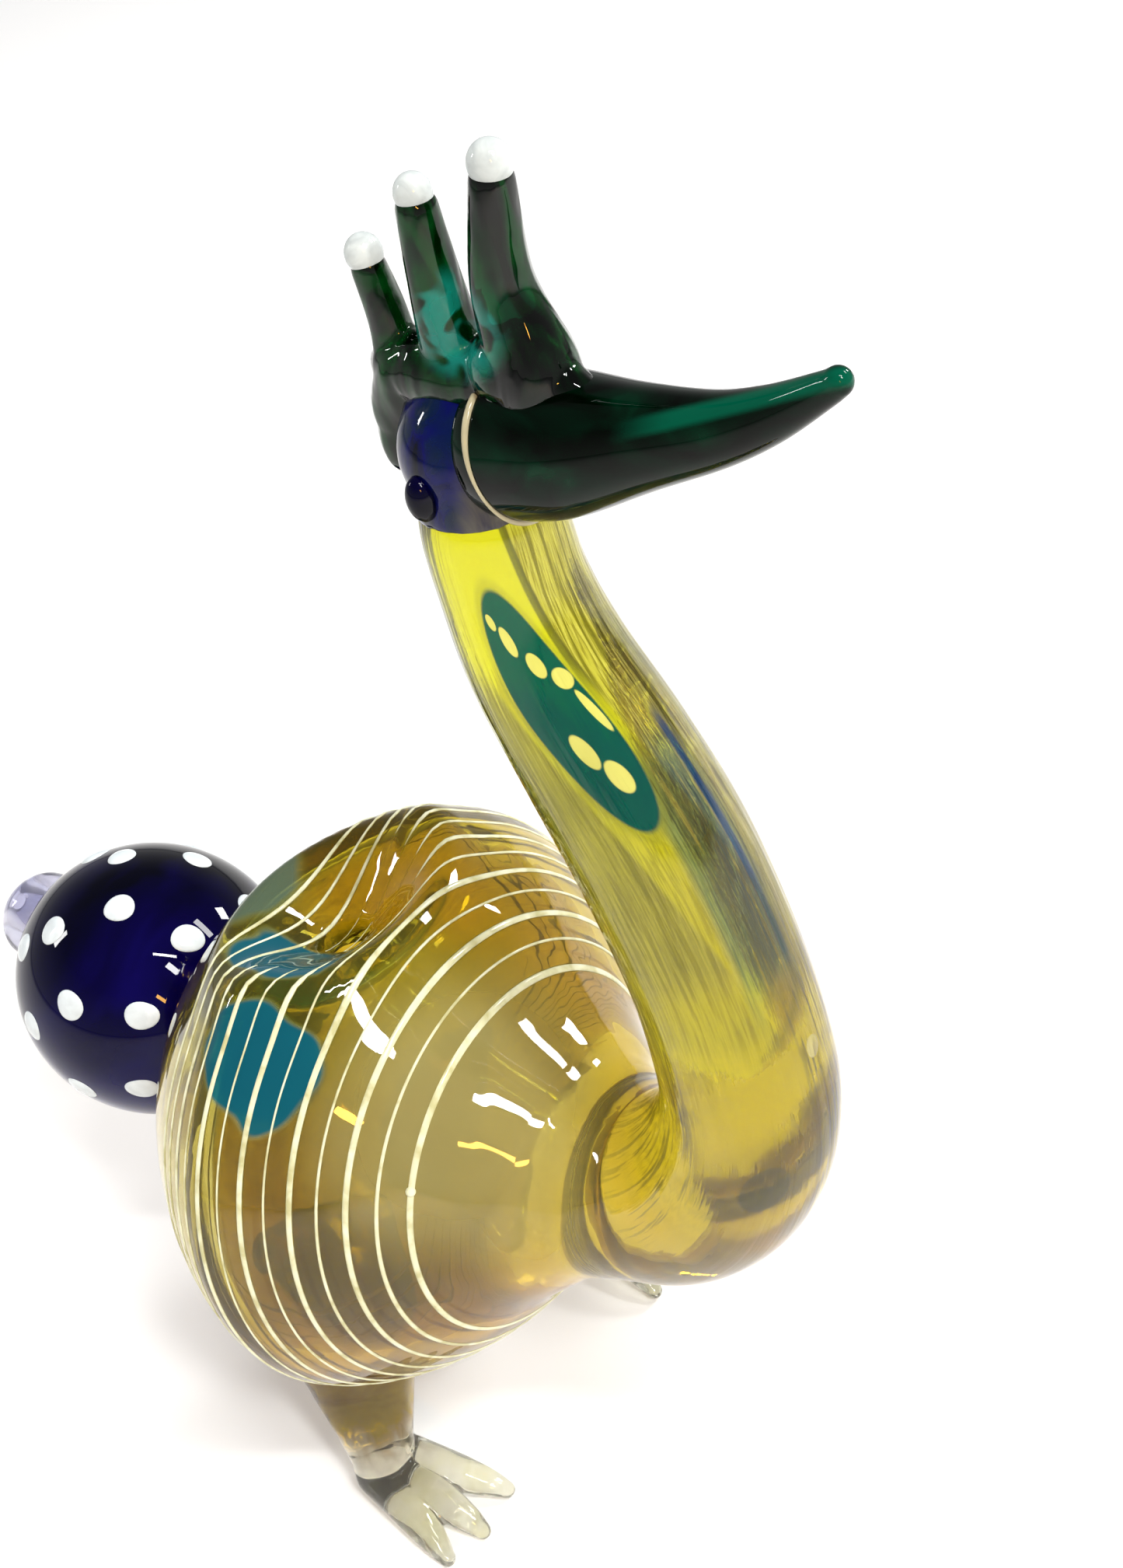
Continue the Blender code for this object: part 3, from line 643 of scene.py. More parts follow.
def leg_and_foot(side, name):
    """Leg, heel and three toes pulled out of one gather of clear glass."""
    line = [(x, side * y, z, r) for x, y, z, r in catmull(LEG_LINE, 8)]
    shapes = [swept(line, 48, False, True)]
    for tip in TOE_TIPS:
        root = (HEEL_AT[0] + 0.6, side * (HEEL_AT[1] + (tip[1] - HEEL_AT[1]) * 0.3))
        middle = ((root[0] + tip[0]) / 2, (root[1] + side * tip[1]) / 2)
        toe = catmull([(root[0], root[1], 2.9, 2.2), (middle[0], middle[1], 2.2, 1.75),
                       (tip[0] - 2.6, side * (tip[1] - (tip[1] - HEEL_AT[1]) * 0.12), 1.5, 1.25),
                       (tip[0] - 1.0, side * tip[1], 0.85, 0.8)], 8)
        shapes.append(swept(toe, 28, True, True))
    obj = melt(name, shapes, 0.2, 7)
    cut(obj, body_space())
    for vert in obj.data.vertices:
        vert.co.z = max(vert.co.z, 0.0)
    return obj


def body_space():
    """The space that the body takes up, in which the legs' tops end."""
    around, stations = 96, 60
    origin, along, up = body_frame()
    verts = [tuple(origin + along * TAIL_JOINT_AT)]
    for i in range(stations + 1):
        s = TAIL_JOINT_AT + (THROAT_AT - TAIL_JOINT_AT) * i / stations
        r = body_radius(s) - 0.02
        for j in range(around):
            verts.append(tuple(origin + along * s + r * spoke(2 * math.pi * j / around, up)))
    verts.append(tuple(origin + along * THROAT_AT))
    return new_object("body_space", verts, capped_rings(verts, around))


# ---------------------------------------------------------------- glass

class Sketch:
    """Short-hand for building one node material; `place` is the drawing's x, y and z in mm."""

    def __init__(self, name, roughness=0.03, transmission=0.9, ior=1.47, specular=0.3):
        self.material = bpy.data.materials.new(name)
        self.material.use_nodes = True
        self.tree = self.material.node_tree
        self.shader = self.tree.nodes["Principled BSDF"]
        self.shader.inputs["Roughness"].default_value = roughness
        self.shader.inputs["Transmission Weight"].default_value = transmission
        self.shader.inputs["IOR"].default_value = ior
        self.shader.inputs["Specular IOR Level"].default_value = specular
        coord = self.tree.nodes.new("ShaderNodeTexCoord").outputs["Object"]
        self.place = self.vector_math("MULTIPLY_ADD", coord, (1000.0, 1000.0, 1000.0), (-SLIDE, 0.0, 0.0))

    def add(self, kind, settings, values):
        """A node with these settings; an input is linked if its value is a socket, and set if not."""
        node = self.tree.nodes.new(kind)
        for key, value in settings.items():
            setattr(node, key, value)
        for key, value in values.items():
            if isinstance(value, bpy.types.NodeSocket):
                self.tree.links.new(value, node.inputs[key])
            else:
                node.inputs[key].default_value = value
        return node

    def vector_math(self, operation, a, b, c=None):
        values = {0: a, 1: b}
        if c is not None:
            values[2] = c
        return self.add("ShaderNodeVectorMath", {"operation": operation}, values).outputs[0]

    def dot(self, a, b):
        return self.add("ShaderNodeVectorMath", {"operation": "DOT_PRODUCT"}, {0: a, 1: b}).outputs["Value"]

    def math(self, operation, a, b=0.0):
        return self.add("ShaderNodeMath", {"operation": operation}, {0: a, 1: b}).outputs[0]

    def times(self, a, b):
        return self.math("MULTIPLY", a, b)

    def stretch(self, vector, factors):
        return self.vector_math("MULTIPLY", vector, factors)

    def attribute(self, name):
        return self.add("ShaderNodeAttribute", {"attribute_name": name}, {}).outputs["Vector"]

    def noise(self, vector, scale, detail=2.0, distortion=0.0):
        return self.add("ShaderNodeTexNoise", {}, {"Vector": vector, "Scale": scale, "Detail": detail,
                                                   "Distortion": distortion}).outputs[0]

    def vector_noise(self, vector, scale):
        """Three smooth values about 0.5 that wander from place to place."""
        return self.add("ShaderNodeTexNoise", {}, {"Vector": vector, "Scale": scale,
                                                   "Detail": 1.0}).outputs["Color"]

    def band(self, value, low, high, soft):
        """1 between low and high, fading out over `soft` on each side."""
        up = self.step(value, low - soft, low)
        down = self.step(value, high + soft, high)
        return self.times(up, down)

    def step(self, value, start, end):
        """0 up to start, 1 from end on, smooth in between; end may lie below start."""
        return self.add("ShaderNodeMapRange", {"interpolation_type": "SMOOTHSTEP"},
                        {"Value": value, "From Min": start, "From Max": end}).outputs[0]

    def blob(self, vector, centre, size, soft=0.3):
        """1 inside an ellipsoid, fading to 0 outside it."""
        away = self.vector_math("SUBTRACT", vector, centre)
        share = self.vector_math("DIVIDE", away, size)
        far = self.add("ShaderNodeVectorMath", {"operation": "LENGTH"}, {0: share}).outputs["Value"]
        return self.step(far, 1.0 + soft, 1.0 - soft)

    def ramp(self, value, *stops):
        """Colours at rising values, smoothly blended."""
        node = self.tree.nodes.new("ShaderNodeValToRGB")
        self.tree.links.new(value, node.inputs[0])
        marks = node.color_ramp.elements
        while len(marks) < len(stops):
            marks.new(0.5)
        for mark, (position, colour) in zip(marks, stops):
            mark.position = position
            mark.color = (*colour, 1.0)
        return node.outputs[0]

    def mix(self, share, a, b):
        """Colour a where the share is 0, colour b where it is 1."""
        node = self.add("ShaderNodeMix", {"data_type": "RGBA"}, {"Factor": share})
        for key, value in ((6, a), (7, b)):
            if isinstance(value, bpy.types.NodeSocket):
                self.tree.links.new(value, node.inputs[key])
            else:
                node.inputs[key].default_value = (*value, 1.0)
        return node.outputs[2]

    def colour(self, socket):
        self.tree.links.new(socket, self.shader.inputs["Base Color"])

    def bump(self, height, strength, distance):
        node = self.add("ShaderNodeBump", {}, {"Strength": strength, "Distance": distance * MM,
                                               "Height": height})
        self.tree.links.new(node.outputs[0], self.shader.inputs["Normal"])

    def set(self, **values):
        for key, value in values.items():
            name = key.replace("_", " ")
            if isinstance(value, bpy.types.NodeSocket):
                self.tree.links.new(value, self.shader.inputs[name])
            else:
                self.shader.inputs[name].default_value = value


def body_glass():
    """Fumed amber body running into golden chest and yellow neck."""
    sk = Sketch("fumed_amber_glass", 0.015, BODY_CLEARNESS)
    straight = sk.attribute("straight")
    along = sk.add("ShaderNodeSeparateXYZ", {}, {0: straight}).outputs[2]
    cloud = sk.noise(sk.place, 0.09, 3.0, 0.8)
    swirl = sk.noise(sk.stretch(sk.place, (1.0, 1.0, 0.35)), 0.16, 2.0, 1.5)
    colour, fume, painted_tail_view = amber_colour(sk, cloud, swirl)
    neck, painted, reeds_and_streaks = neck_colour(sk, straight, along, cloud)
    is_neck = sk.step(sk.math("ADD", along, sk.times(swirl, 6.0)), 24.0, 44.0)
    sk.colour(sk.mix(is_neck, colour, neck))

    throat = sk.blob(sk.place, (21.0, -4.0, 43.0), (6.0, 8.0, 8.0), 0.5)
    milky = sk.math("MAXIMUM", sk.times(painted_tail_view, 0.6), sk.times(fume, 0.55))
    milky = sk.math("MAXIMUM", milky, sk.times(throat, 0.45))
    milky = sk.math("MAXIMUM", milky, sk.times(painted, 0.6))
    milky = sk.math("MAXIMUM", milky, sk.times(sk.times(reeds_and_streaks, is_neck), 0.25))
    sk.set(Transmission_Weight=sk.math("SUBTRACT", BODY_CLEARNESS, milky))

    ripples = sk.noise(sk.stretch(sk.place, (1.0, 1.0, 0.4)), 0.22, 1.0, 0.6)
    lines = sk.noise(sk.stretch(straight, (3.4, 3.4, 0.03)), 2.0, 3.0, 0.3)
    reeding = sk.times(sk.times(lines, is_neck), 0.8)
    sk.bump(sk.math("ADD", ripples, reeding), 0.3, 0.35)
    return sk.material


def amber_colour(sk, cloud, swirl):
    """Colour of the body, with where it is fumed grey and where blue patches are a painted reflection of the
    cobalt tail seen through the glass.
    """
    place = sk.place
    height = sk.dot(place, (0.0, 0.0, 1.0))
    colour = sk.ramp(cloud, (0.3, (0.40, 0.31, 0.02)), (0.5, (0.50, 0.41, 0.07)), (0.7, (0.62, 0.54, 0.18)))
    low = sk.step(sk.math("ADD", height, sk.times(swirl, 10.0)), 50.0, 32.0)
    amber = sk.ramp(swirl, (0.35, (0.62, 0.38, 0.0)), (0.5, (0.50, 0.26, 0.0)), (0.65, (0.36, 0.17, 0.0)))
    colour = sk.mix(sk.times(low, 0.92), colour, amber)
    rear = sk.step(sk.dot(place, (1.0, 0.0, -0.25)), -20.0, -27.0)
    gold = sk.ramp(sk.noise(sk.stretch(place, (1.0, 0.4, 0.4)), 0.5, 2.0, 0.6),
                   (0.4, (0.40, 0.22, 0.0)), (0.6, (0.85, 0.58, 0.05)))
    colour = sk.mix(sk.times(rear, 0.8), colour, gold)
    top = sk.step(height, 53.0, 61.0)
    colour = sk.mix(sk.times(top, 0.75), colour, (0.42, 0.40, 0.01))
    far_side = sk.step(sk.dot(place, (0.3, 1.0, 0.0)), 2.0, 16.0)
    colour = sk.mix(sk.times(far_side, 0.7), colour, (0.60, 0.42, 0.0))
    bowl_far = sk.blob(place, (2.5, 5.0, 60.0), (9.0, 5.5, 5.0), 0.4)
    colour = sk.mix(sk.times(bowl_far, 0.8), colour, (0.60, 0.40, 0.0))
    fume = sk.times(sk.blob(place, (16.0, -6.0, 51.0), (10.0, 11.0, 10.0), 0.5), 0.75)
    colour = sk.mix(fume, colour, (0.42, 0.37, 0.15))

    # blue patches: painted reflection of the cobalt tail, seen through the body's glass
    # the wander is 0 to 5 mm, so each patch ends up about 2.5 mm short of the centre given here, in x and y
    wander = sk.stretch(sk.vector_noise(place, 0.16), (5.0, 5.0, 0.0))
    uneven = sk.vector_math("ADD", place, wander)
    shoulder = sk.blob(uneven, (7.1, -11.8, 58.3), (5.2, 4.6, 4.8), 0.08)
    bowl_floor = sk.blob(uneven, (3.1, -3.3, 60.8), (4.9, 4.6, 4.0), 0.08)
    rear_patch = sk.blob(uneven, (-5.5, 1.5, 60.5), (3.4, 5.0, 3.0), 0.2)
    painted_tail_view = sk.math("MAXIMUM", sk.math("MAXIMUM", shoulder, bowl_floor), sk.times(rear_patch, 0.7))
    return sk.mix(painted_tail_view, colour, (0.003, 0.11, 0.16)), fume, painted_tail_view


def neck_colour(sk, straight, along, cloud):
    """Colour of the chest and neck, with where it is painted teal and where it is closely lined with reeds
    that are partly painted streaks of light and shade.
    """
    across = sk.dot(straight, NECK_ACROSS)
    facing = sk.dot(straight, NECK_FACING)
    fine = sk.noise(sk.stretch(straight, (9.0, 9.0, 0.05)), 2.0, 3.0, 0.2)
    neck = sk.mix(cloud, (0.56, 0.54, 0.0), (0.68, 0.66, 0.01))
    neck = sk.mix(sk.step(along, 80.0, 60.0), neck, (0.48, 0.40, 0.0))
    neck = sk.mix(sk.step(along, 46.0, 30.0), neck, (0.42, 0.28, 0.0))

    olive = slanted(sk, across, along, -0.5, 83.9, 0.037)
    olive = sk.times(sk.step(olive, 0.04, -0.04), sk.band(along, 58.0, 83.0, 4.0))
    olive_colour = sk.ramp(fine, (0.40, (0.08, 0.07, 0.002)), (0.50, (0.30, 0.27, 0.02)),
                           (0.60, (0.16, 0.14, 0.01)))
    neck = sk.mix(sk.times(olive, 0.85), neck, olive_colour)
    # dark lines near the neck's edges as the camera sees them: the glass's own streaks, with painted shade
    # where the thick rod's edges refract dark surroundings
    outer = sk.step(sk.math("ABSOLUTE", across), 0.55, 0.75)
    streaks_and_edge_shade = sk.times(sk.step(fine, 0.53, 0.57), outer)
    neck = sk.mix(sk.times(streaks_and_edge_shade, 0.85), neck, (0.04, 0.035, 0.001))

    # reeds on the right of the neck: the glass's own lines, with painted streaks of light and shade in their
    # bright and dark bands
    border = slanted(sk, across, along, 0.26, 93.6, 0.0215)
    reeds_and_streaks = sk.times(sk.step(border, -0.02, 0.05), sk.band(along, 63.0, 94.0, 3.0))
    reed_and_streak_colours = sk.ramp(fine, (0.40, (0.05, 0.035, 0.004)), (0.45, (0.30, 0.26, 0.04)),
                    (0.50, (0.62, 0.58, 0.16)), (0.55, (0.12, 0.08, 0.01)), (0.62, (0.48, 0.44, 0.08)))
    neck = sk.mix(sk.times(reeds_and_streaks, 0.9), neck, reed_and_streak_colours)
    brow = sk.times(sk.band(border, -0.03, 0.04, 0.03), sk.step(along, 77.0, 85.0))
    neck = sk.mix(sk.times(brow, 0.9), neck, (0.02, 0.02, 0.004))

    haze = sk.times(sk.band(across, 0.42, 0.85, 0.12), sk.band(along, 61.0, 75.0, 4.0))
    haze_colour = sk.ramp(fine, (0.40, (0.02, 0.07, 0.10)), (0.48, (0.16, 0.24, 0.16)),
                          (0.56, (0.03, 0.12, 0.15)), (0.62, (0.40, 0.40, 0.16)))
    neck = sk.mix(sk.times(haze, 0.9), neck, haze_colour)
    blue_line = sk.times(sk.band(across, 0.84, 0.87, 0.025), sk.band(along, 61.0, 77.0, 2.0))
    neck = sk.mix(sk.times(blue_line, 0.9), neck, (0.0, 0.05, 0.22))
    neck, painted = teal_panel(sk, neck, along, across, facing)
    return chest_marks(sk, neck, along, across, facing), painted, reeds_and_streaks


def slanted(sk, across, along, start, height, slope):
    """How far across a point lies from a line that starts at `start` at this height and slants downwards."""
    fallen = sk.times(sk.math("SUBTRACT", height, along), slope)
    return sk.math("SUBTRACT", sk.math("SUBTRACT", across, start), fallen)


def patch(sk, along, across, facing, centre, size, tilt=0.0, soft=0.15):
    """An oval patch on the near side of the neck; it leans across by `tilt` for each mm along."""
    up = sk.math("SUBTRACT", along, centre[1])
    side = sk.math("SUBTRACT", sk.math("SUBTRACT", across, centre[0]), sk.times(up, tilt))
    a = sk.math("DIVIDE", up, size[1])
    b = sk.math("DIVIDE", side, size[0])
    far = sk.math("ADD", sk.times(a, a), sk.times(b, b))
    return sk.times(sk.step(far, 1.0 + soft, 1.0 - soft), sk.step(facing, 0.1, 0.35))


def teal_panel(sk, colour, along, across, facing):
    """A teal window in the neck's glass with a double row of yellow drops in it; also says where it is."""
    rim = patch(sk, along, across, facing, (0.06, 81.8), (0.44, 10.2), -0.023, 0.1)
    colour = sk.mix(sk.times(rim, 0.5), colour, (0.20, 0.22, 0.02))
    window = patch(sk, along, across, facing, (0.06, 81.8), (0.39, 9.4), -0.023, 0.06)
    colour = sk.mix(window, colour, (0.0, 0.05, 0.055))
    drops = ((-0.26, 88.9, 0.045, 0.6), (-0.13, 87.4, 0.065, 1.1), (0.08, 85.3, 0.085, 1.0),
             (0.29, 83.7, 0.10, 0.9), (0.40, 80.7, 0.045, 1.8), (0.08, 78.7, 0.09, 1.3),
             (0.26, 76.4, 0.10, 1.2))
    for drop_across, drop_along, wide, tall in drops:
        drop = patch(sk, along, across, facing, (drop_across, drop_along), (wide, tall), -0.03)
        colour = sk.mix(drop, colour, (0.62, 0.60, 0.16))
    return colour, window


def chest_marks(sk, colour, along, across, facing):
    """Dark green blot and a bubble where neck and chest run together."""
    blot = patch(sk, along, across, facing, (0.09, 44.2), (0.26, 2.2), 0.03)
    colour = sk.mix(sk.times(blot, 0.8), colour, (0.10, 0.13, 0.01))
    bubble = patch(sk, along, across, facing, (0.80, 53.7), (0.06, 0.8))
    return sk.mix(sk.times(bubble, 0.8), colour, (0.80, 0.80, 0.62))


def trail_glass():
    """Nearly opaque cream glass."""
    sk = Sketch("cream_trail_glass", 0.12, 0.05, 1.5)
    streak = sk.noise(sk.place, 0.5, 3.0, 0.4)
    sk.colour(sk.ramp(streak, (0.35, (0.52, 0.50, 0.26)), (0.5, (0.68, 0.68, 0.44)),
                      (0.7, (0.78, 0.79, 0.58))))
    return sk.material


def opal_glass(name, tint):
    """Nearly opaque glass, clouded between the tint and a paler one."""
    sk = Sketch(name, 0.08, 0.08, 1.5)
    cloud = sk.noise(sk.place, 0.7, 3.0, 0.5)
    pale = tuple(min(c * 1.12, 0.95) for c in tint)
    sk.colour(sk.ramp(cloud, (0.35, tint), (0.65, pale)))
    sk.bump(sk.noise(sk.place, 0.8, 1.0), 0.2, 0.1)
    return sk.material


def bead_glass():
    """Opal of the crest's beads, a little clearer than the dots' and the seam's."""
    sk = Sketch("opal_bead_glass", 0.06, 0.15, 1.5)
    cloud = sk.noise(sk.place, 0.8, 3.0, 0.6)
    sk.colour(sk.ramp(cloud, (0.35, (0.52, 0.57, 0.57)), (0.65, (0.68, 0.74, 0.73))))
    return sk.material


def crest_glass():
    """Deep green with darker streaks, and a painted teal highlight in the valley between two prongs."""
    sk = Sketch("bottle_green_glass", 0.015, 0.6, 1.5, 0.15)
    streaks = sk.noise(sk.stretch(sk.place, (1.0, 1.0, 0.3)), 0.35, 3.0, 1.2)
    colour = sk.ramp(streaks, (0.38, (0.0, 0.001, 0.0)), (0.47, (0.0, 0.012, 0.002)),
                     (0.56, (0.001, 0.06, 0.008)), (0.63, (0.0, 0.003, 0.0)))
    # painted highlight: a teal patch in the valley between two prongs, on the side the camera sees
    valley = sk.blob(sk.place, (31.0, -1.0, 116.5), (3.2, 2.8, 2.6), 0.3)
    painted_valley_highlight = sk.times(valley, sk.step(sk.noise(sk.place, 0.40, 1.0, 0.8), 0.46, 0.54))
    sk.colour(sk.mix(painted_valley_highlight, colour, (0.01, 0.38, 0.30)))
    sk.bump(sk.noise(sk.stretch(sk.place, (1.0, 1.0, 0.35)), 0.45, 1.0, 0.8), 0.6, 0.7)
    return sk.material


def beak_glass():
    """Green so deep that it reads black, with a painted teal highlight along the upper side."""
    sk = Sketch("dark_green_glass", 0.015, 0.1, 1.5, 0.12)
    smoke = sk.noise(sk.stretch(sk.place, (0.5, 1.0, 1.0)), 0.28, 3.0, 1.0)
    colour = sk.ramp(smoke, (0.42, (0.0, 0.001, 0.0)), (0.60, (0.0, 0.008, 0.003)),
                     (0.75, (0.0, 0.025, 0.010)))
    # painted highlight: a teal band along the upper side of the beak, on the side the camera sees
    level = sk.dot(sk.place, (-0.40, 0.547, 1.0))
    along = sk.dot(sk.place, (1.0, 0.0, 0.0))
    painted_beak_highlight = sk.times(sk.band(level, 94.5, 95.1, 0.55), sk.step(along, 40.5, 44.5))
    painted_beak_highlight = sk.times(painted_beak_highlight, sk.step(sk.dot(sk.place, (0.0, 1.0, 0.0)), 0.6, 0.0))
    sk.colour(sk.mix(sk.times(painted_beak_highlight, 0.9), colour, (0.0, 0.085, 0.045)))
    return sk.material


def head_glass():
    """Navy swirls behind, a smoky grey patch against the beak."""
    sk = Sketch("swirled_violet_glass", 0.015, 0.25, 1.5, 0.15)
    swirl = sk.noise(sk.stretch(sk.place, (1.0, 1.0, 0.5)), 0.24, 4.0, 1.8)
    colour = sk.ramp(swirl, (0.34, (0.0, 0.001, 0.01)), (0.48, (0.001, 0.002, 0.09)),
                     (0.58, (0.002, 0.012, 0.04)), (0.70, (0.06, 0.07, 0.08)))
    near_beak = sk.step(sk.dot(sk.place, (1.0, -0.15, -0.25)), 3.6, 5.4)
    smoky = sk.ramp(swirl, (0.38, (0.02, 0.02, 0.05)), (0.52, (0.10, 0.09, 0.07)), (0.66, (0.17, 0.15, 0.12)))
    sk.colour(sk.mix(sk.times(near_beak, 0.9), colour, smoky))
    sk.bump(swirl, 0.15, 0.2)
    return sk.material


def cobalt_glass(name):
    """Cobalt so deep that it is nearly black, a little bluer towards the bottom."""
    sk = Sketch(name, 0.015, 0.15, 1.5, 0.12)
    depth = sk.noise(sk.place, 0.07, 3.0, 0.8)
    low = sk.step(sk.dot(sk.place, (0.0, 0.0, 1.0)), 42.0, 26.0)
    shade = sk.math("ADD", depth, sk.times(low, 0.22))
    sk.colour(sk.ramp(shade, (0.40, (0.0, 0.0, 0.004)), (0.60, (0.001, 0.0, 0.03)),
                      (0.80, (0.003, 0.001, 0.08))))
    return sk.material


def mouth_glass():
    """Nearly clear, with a violet-grey veil."""
    sk = Sketch("clear_violet_grey_glass", 0.02, 0.85, 1.47)
    veil = sk.noise(sk.place, 0.2, 2.0, 0.6)
    sk.colour(sk.ramp(veil, (0.35, (0.42, 0.42, 0.60)), (0.65, (0.70, 0.70, 0.80))))
    return sk.material


def leg_glass():
    """Amber where the leg leaves the body, clear from the ankle down."""
    sk = Sketch("amber_to_clear_glass", 0.02, 0.92, 1.5, 0.5)
    height = sk.dot(sk.place, (0.0, 0.0, 1.0))
    drift = sk.noise(sk.stretch(sk.place, (1.0, 1.0, 0.3)), 0.4, 3.0, 1.0)
    level = sk.math("ADD", height, sk.times(sk.math("SUBTRACT", drift, 0.5), 8.0))
    share = sk.step(level, 3.0, 10.0)
    clear = sk.ramp(drift, (0.35, (0.86, 0.84, 0.62)), (0.6, (0.97, 0.96, 0.86)))
    sk.colour(sk.mix(share, clear, (0.22, 0.12, 0.0)))
    sk.bump(sk.noise(sk.stretch(sk.place, (0.3, 1.0, 0.5)), 0.35, 0.0, 0.4), 0.8, 0.9)
    return sk.material


# ---------------------------------------------------------------- stage

def pale_floor():
    """A white sheet to stand on, 8 m across."""
    half = 4.0
    mesh = bpy.data.meshes.new("floor")
    corners = [(-half, -half, 0), (half, -half, 0), (half, half, 0), (-half, half, 0)]
    mesh.from_pydata(corners, [], [(0, 1, 2, 3)])
    floor = bpy.data.objects.new("floor", mesh)
    bpy.context.scene.collection.objects.link(floor)
    sk = Sketch("pale_floor", 0.7, 0.0, 1.45, 0.1)
    sk.colour(sk.ramp(sk.noise(sk.place, 0.004, 2.0), (0.3, (0.93, 0.93, 0.92)), (0.7, (0.95, 0.95, 0.94))))
    mesh.materials.append(sk.material)


def area_light(name, direction, distance, length, width, long_axis, power, glossy=True,
               colour=(1.0, 1.0, 1.0)):
    """A rectangular light aimed at the body from this distance in metres, its length along long_axis."""
    centre = at(BODY_AT[0], 0, BODY_AT[1])
    away = Vector(direction).normalized()
    side = Vector(long_axis)
    side = (side - away * side.dot(away)).normalized()
    up = away.cross(side)
    data = bpy.data.lights.new(name, "AREA")
    data.shape = "RECTANGLE"
    data.size = length
    data.size_y = width
    data.energy = power
    data.color = colour
    light = bpy.data.objects.new(name, data)
    bpy.context.scene.collection.objects.link(light)
    light.matrix_world = Matrix.Translation(centre + away * distance) @ Matrix(
        (side, up, away)).transposed().to_4x4()
    light.visible_glossy = glossy


def studio():
    """A grey room, darker overhead, with soft light from above and in front and strips for highlights."""
    world = bpy.data.worlds.new("studio")
    world.use_nodes = True
    tree = world.node_tree
    back = tree.nodes["Background"]
    coord = tree.nodes.new("ShaderNodeTexCoord")
    split = tree.nodes.new("ShaderNodeSeparateXYZ")
    ramp = tree.nodes.new("ShaderNodeValToRGB")
    tree.links.new(coord.outputs["Generated"], split.inputs[0])
    tree.links.new(split.outputs[2], ramp.inputs[0])
    tree.links.new(ramp.outputs[0], back.inputs[0])
    ramp.color_ramp.elements[0].position = 0.05
    ramp.color_ramp.elements[0].color = (0.50, 0.50, 0.49, 1)
    ramp.color_ramp.elements[1].position = 0.55
    ramp.color_ramp.elements[1].color = (0.18, 0.18, 0.19, 1)
    back.inputs[1].default_value = 1.0
    bpy.context.scene.world = world
    area_light("overhead", (-0.25, -0.1, 1.0), 1.5, 2.2, 2.2, (1, 0, 0), 10.5, glossy=False)
    area_light("front_fill", (0.5, -1.0, 0.5), 1.6, 1.4, 1.0, (1, 0.5, 0), 3.0, glossy=False)
    area_light("strip_top", (0.50, -0.10, 0.86), 1.0, 0.36, 0.035, (0.79, 0.58, -0.19), 4.0)
    area_light("strip_front", (0.66, -0.18, 0.73), 1.0, 0.22, 0.09, (0.78, 0.10, -0.61), 4.0)
    area_light("strip_side", (0.45, 0.57, 0.69), 1.0, 0.28, 0.09, (0.69, -0.10, -0.71), 3.0)
    area_light("strip_back", (0.26, 0.86, 0.45), 1.0, 0.16, 0.12, (1.0, 0.3, 0.0), 3.5)
    area_light("warm_lamp", (0.67, -0.57, 0.47), 1.0, 0.16, 0.05, (0.78, 0.10, -0.61), 1.6,
               colour=(1.0, 0.5, 0.08))
    area_light("tail_glint", (-0.80, -0.35, 0.50), 1.0, 0.20, 0.06, (0.0, 0.3, 1.0), 1.5)


def camera():
    """Looks down at the bird's right front, leaning to one side."""
    a, e, r = (math.radians(v) for v in (CAMERA_AZIMUTH, CAMERA_ELEVATION, CAMERA_ROLL))
    back = Vector((math.sin(a) * math.cos(e), -math.cos(a) * math.cos(e), math.sin(e)))
    level = Vector((math.cos(a), math.sin(a), 0))
    upright = back.cross(level)
    right = level * math.cos(r) - upright * math.sin(r)
    up = level * math.sin(r) + upright * math.cos(r)
    data = bpy.data.cameras.new("camera")
    data.sensor_fit = "VERTICAL"
    data.sensor_height = CAMERA_SENSOR
    data.lens = CAMERA_LENS
    data.clip_start = 0.005
    data.clip_end = 50.0
    obj = bpy.data.objects.new("camera", data)
    bpy.context.scene.collection.objects.link(obj)
    turn = Matrix((right, up, back)).transposed().to_4x4()
    obj.matrix_world = Matrix.Translation(Vector(CAMERA_AT) * MM) @ turn
    bpy.context.scene.camera = obj


# ---------------------------------------------------------------- assembly

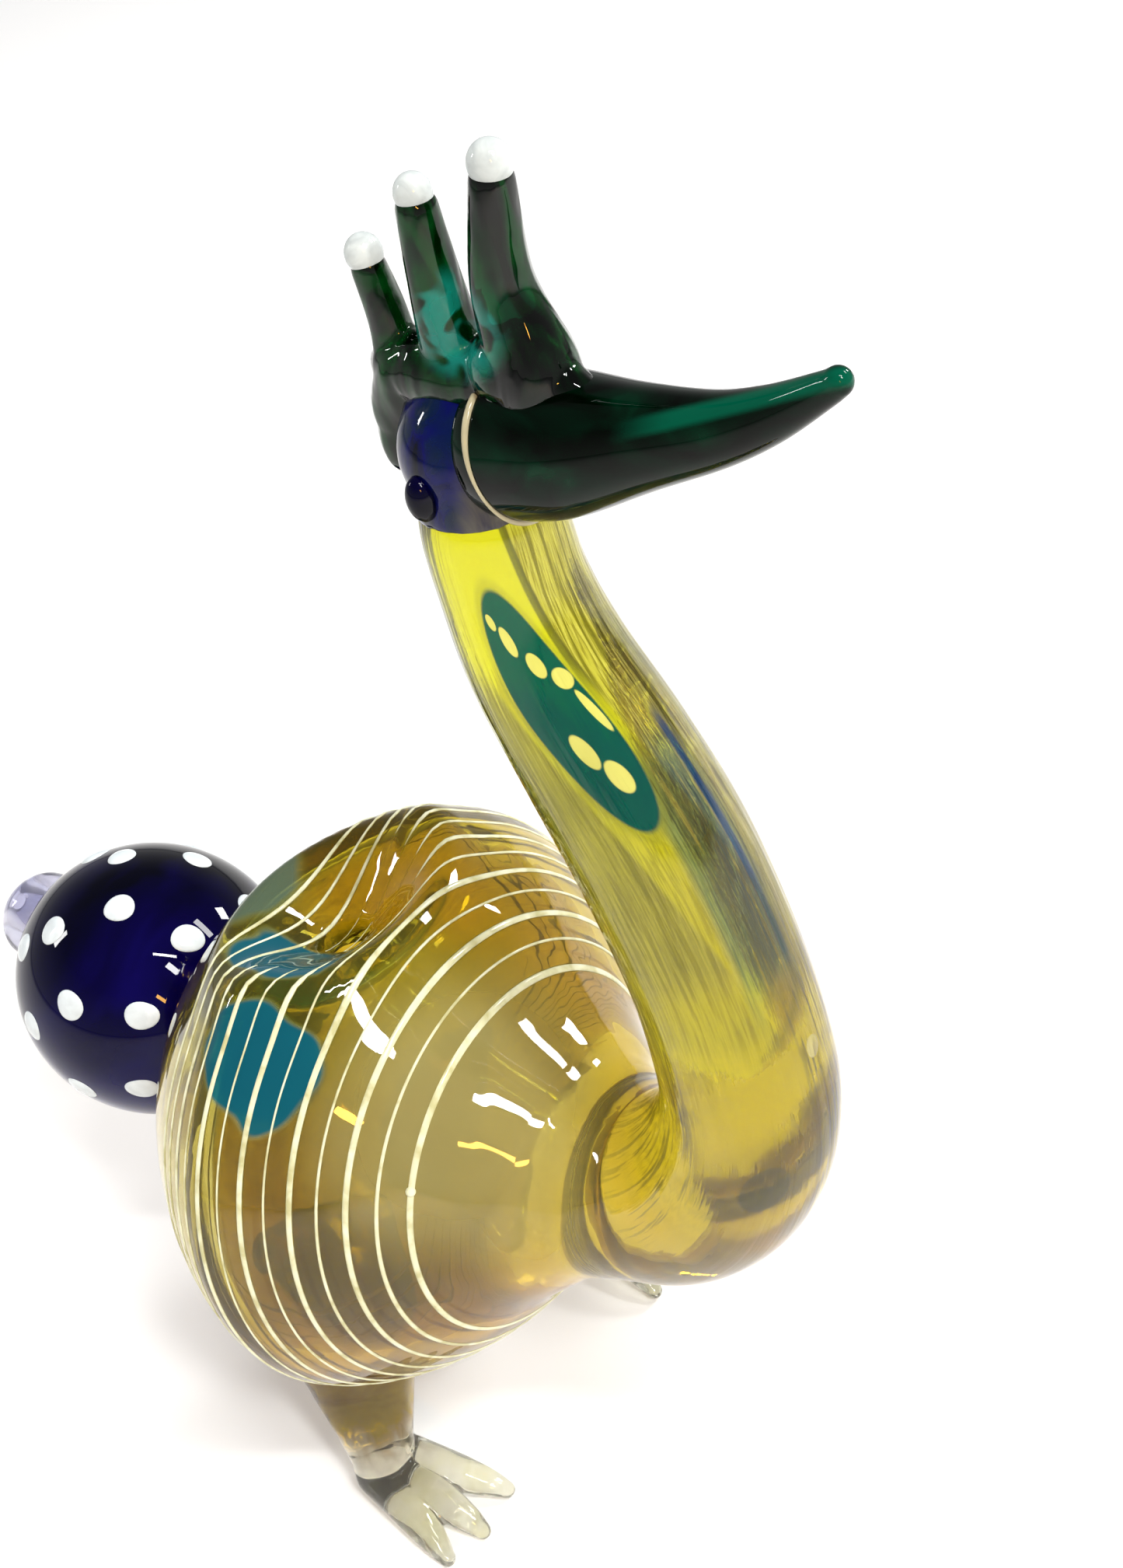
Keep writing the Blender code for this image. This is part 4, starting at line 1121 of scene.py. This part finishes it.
def build():
    """The stage, and every piece with its glass and the CAD nodes it stands for."""
    camera()
    studio()
    pale_floor()

    add_piece(blown_body(), body_glass(), "amber_glass", "body_bulb", "chest_bend", "neck_rod")
    cream = trail_glass()
    add_piece(trail(), cream, "cream_glass", "body_trail")
    add_piece(new_object("trail_dot", *trail_start_dot()), cream, "cream_glass")

    add_piece(head_shape(), head_glass(), "violet_glass", "head_ball")
    add_piece(seam_ring(), opal_glass("beige_seam_glass", (0.42, 0.38, 0.24)), "cream_glass", "beak_seam")
    add_piece(beak_shape(), beak_glass(), "green_glass", "beak")
    add_piece(crest_shape(), crest_glass(), "green_glass", "crest_base", "crest_prong_front",
              "crest_prong_middle", "crest_prong_rear")
    bead = bead_glass()
    for which, prong in PRONGS.items():
        size = prong[-1]
        obj = new_object("bead_" + which, *ball(bead_centre(which), (size, size, size * 1.04)))
        add_piece(obj, bead, "white_glass", "crest_bead_" + which)
    navy = cobalt_glass("navy_eye_glass")
    for side, name in ((-1, "eye_right"), (1, "eye_left")):
        obj = new_object(name + "_bead", *ball((EYE_AT[0], side * EYE_AT[1], EYE_AT[2]), EYE_SIZE, 40, 20))
        add_piece(obj, navy, "cobalt_glass", name)

    add_piece(tail_bulb(), cobalt_glass("cobalt_glass"), "cobalt_glass", "tail_bulb")
    add_piece(tail_mouth(), mouth_glass(), "clear_glass", "tail_mouth")
    opal = opal_glass("opal_dot_glass", (0.66, 0.72, 0.74))
    number = 0
    for latitude, count, first in DOT_ROWS:
        for k in range(count):
            number += 1
            obj = tail_dot(number, latitude, first + 360.0 * k / count)
            add_piece(obj, opal, "white_glass", "tail_dot_%02d" % number)

    legs = leg_glass()
    for side, name in ((-1, "right"), (1, "left")):
        obj = leg_and_foot(side, "leg_and_foot_" + name)
        add_piece(obj, legs, "clear_glass", "leg_" + name, "foot_" + name)


bpy.context.scene.view_settings.view_transform = "Standard"
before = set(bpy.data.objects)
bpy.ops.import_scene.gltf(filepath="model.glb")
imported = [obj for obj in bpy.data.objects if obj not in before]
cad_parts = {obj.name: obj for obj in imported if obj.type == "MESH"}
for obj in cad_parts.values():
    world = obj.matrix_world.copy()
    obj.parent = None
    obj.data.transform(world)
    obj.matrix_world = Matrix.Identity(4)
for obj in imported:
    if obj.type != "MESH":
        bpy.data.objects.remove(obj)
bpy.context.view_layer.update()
build()
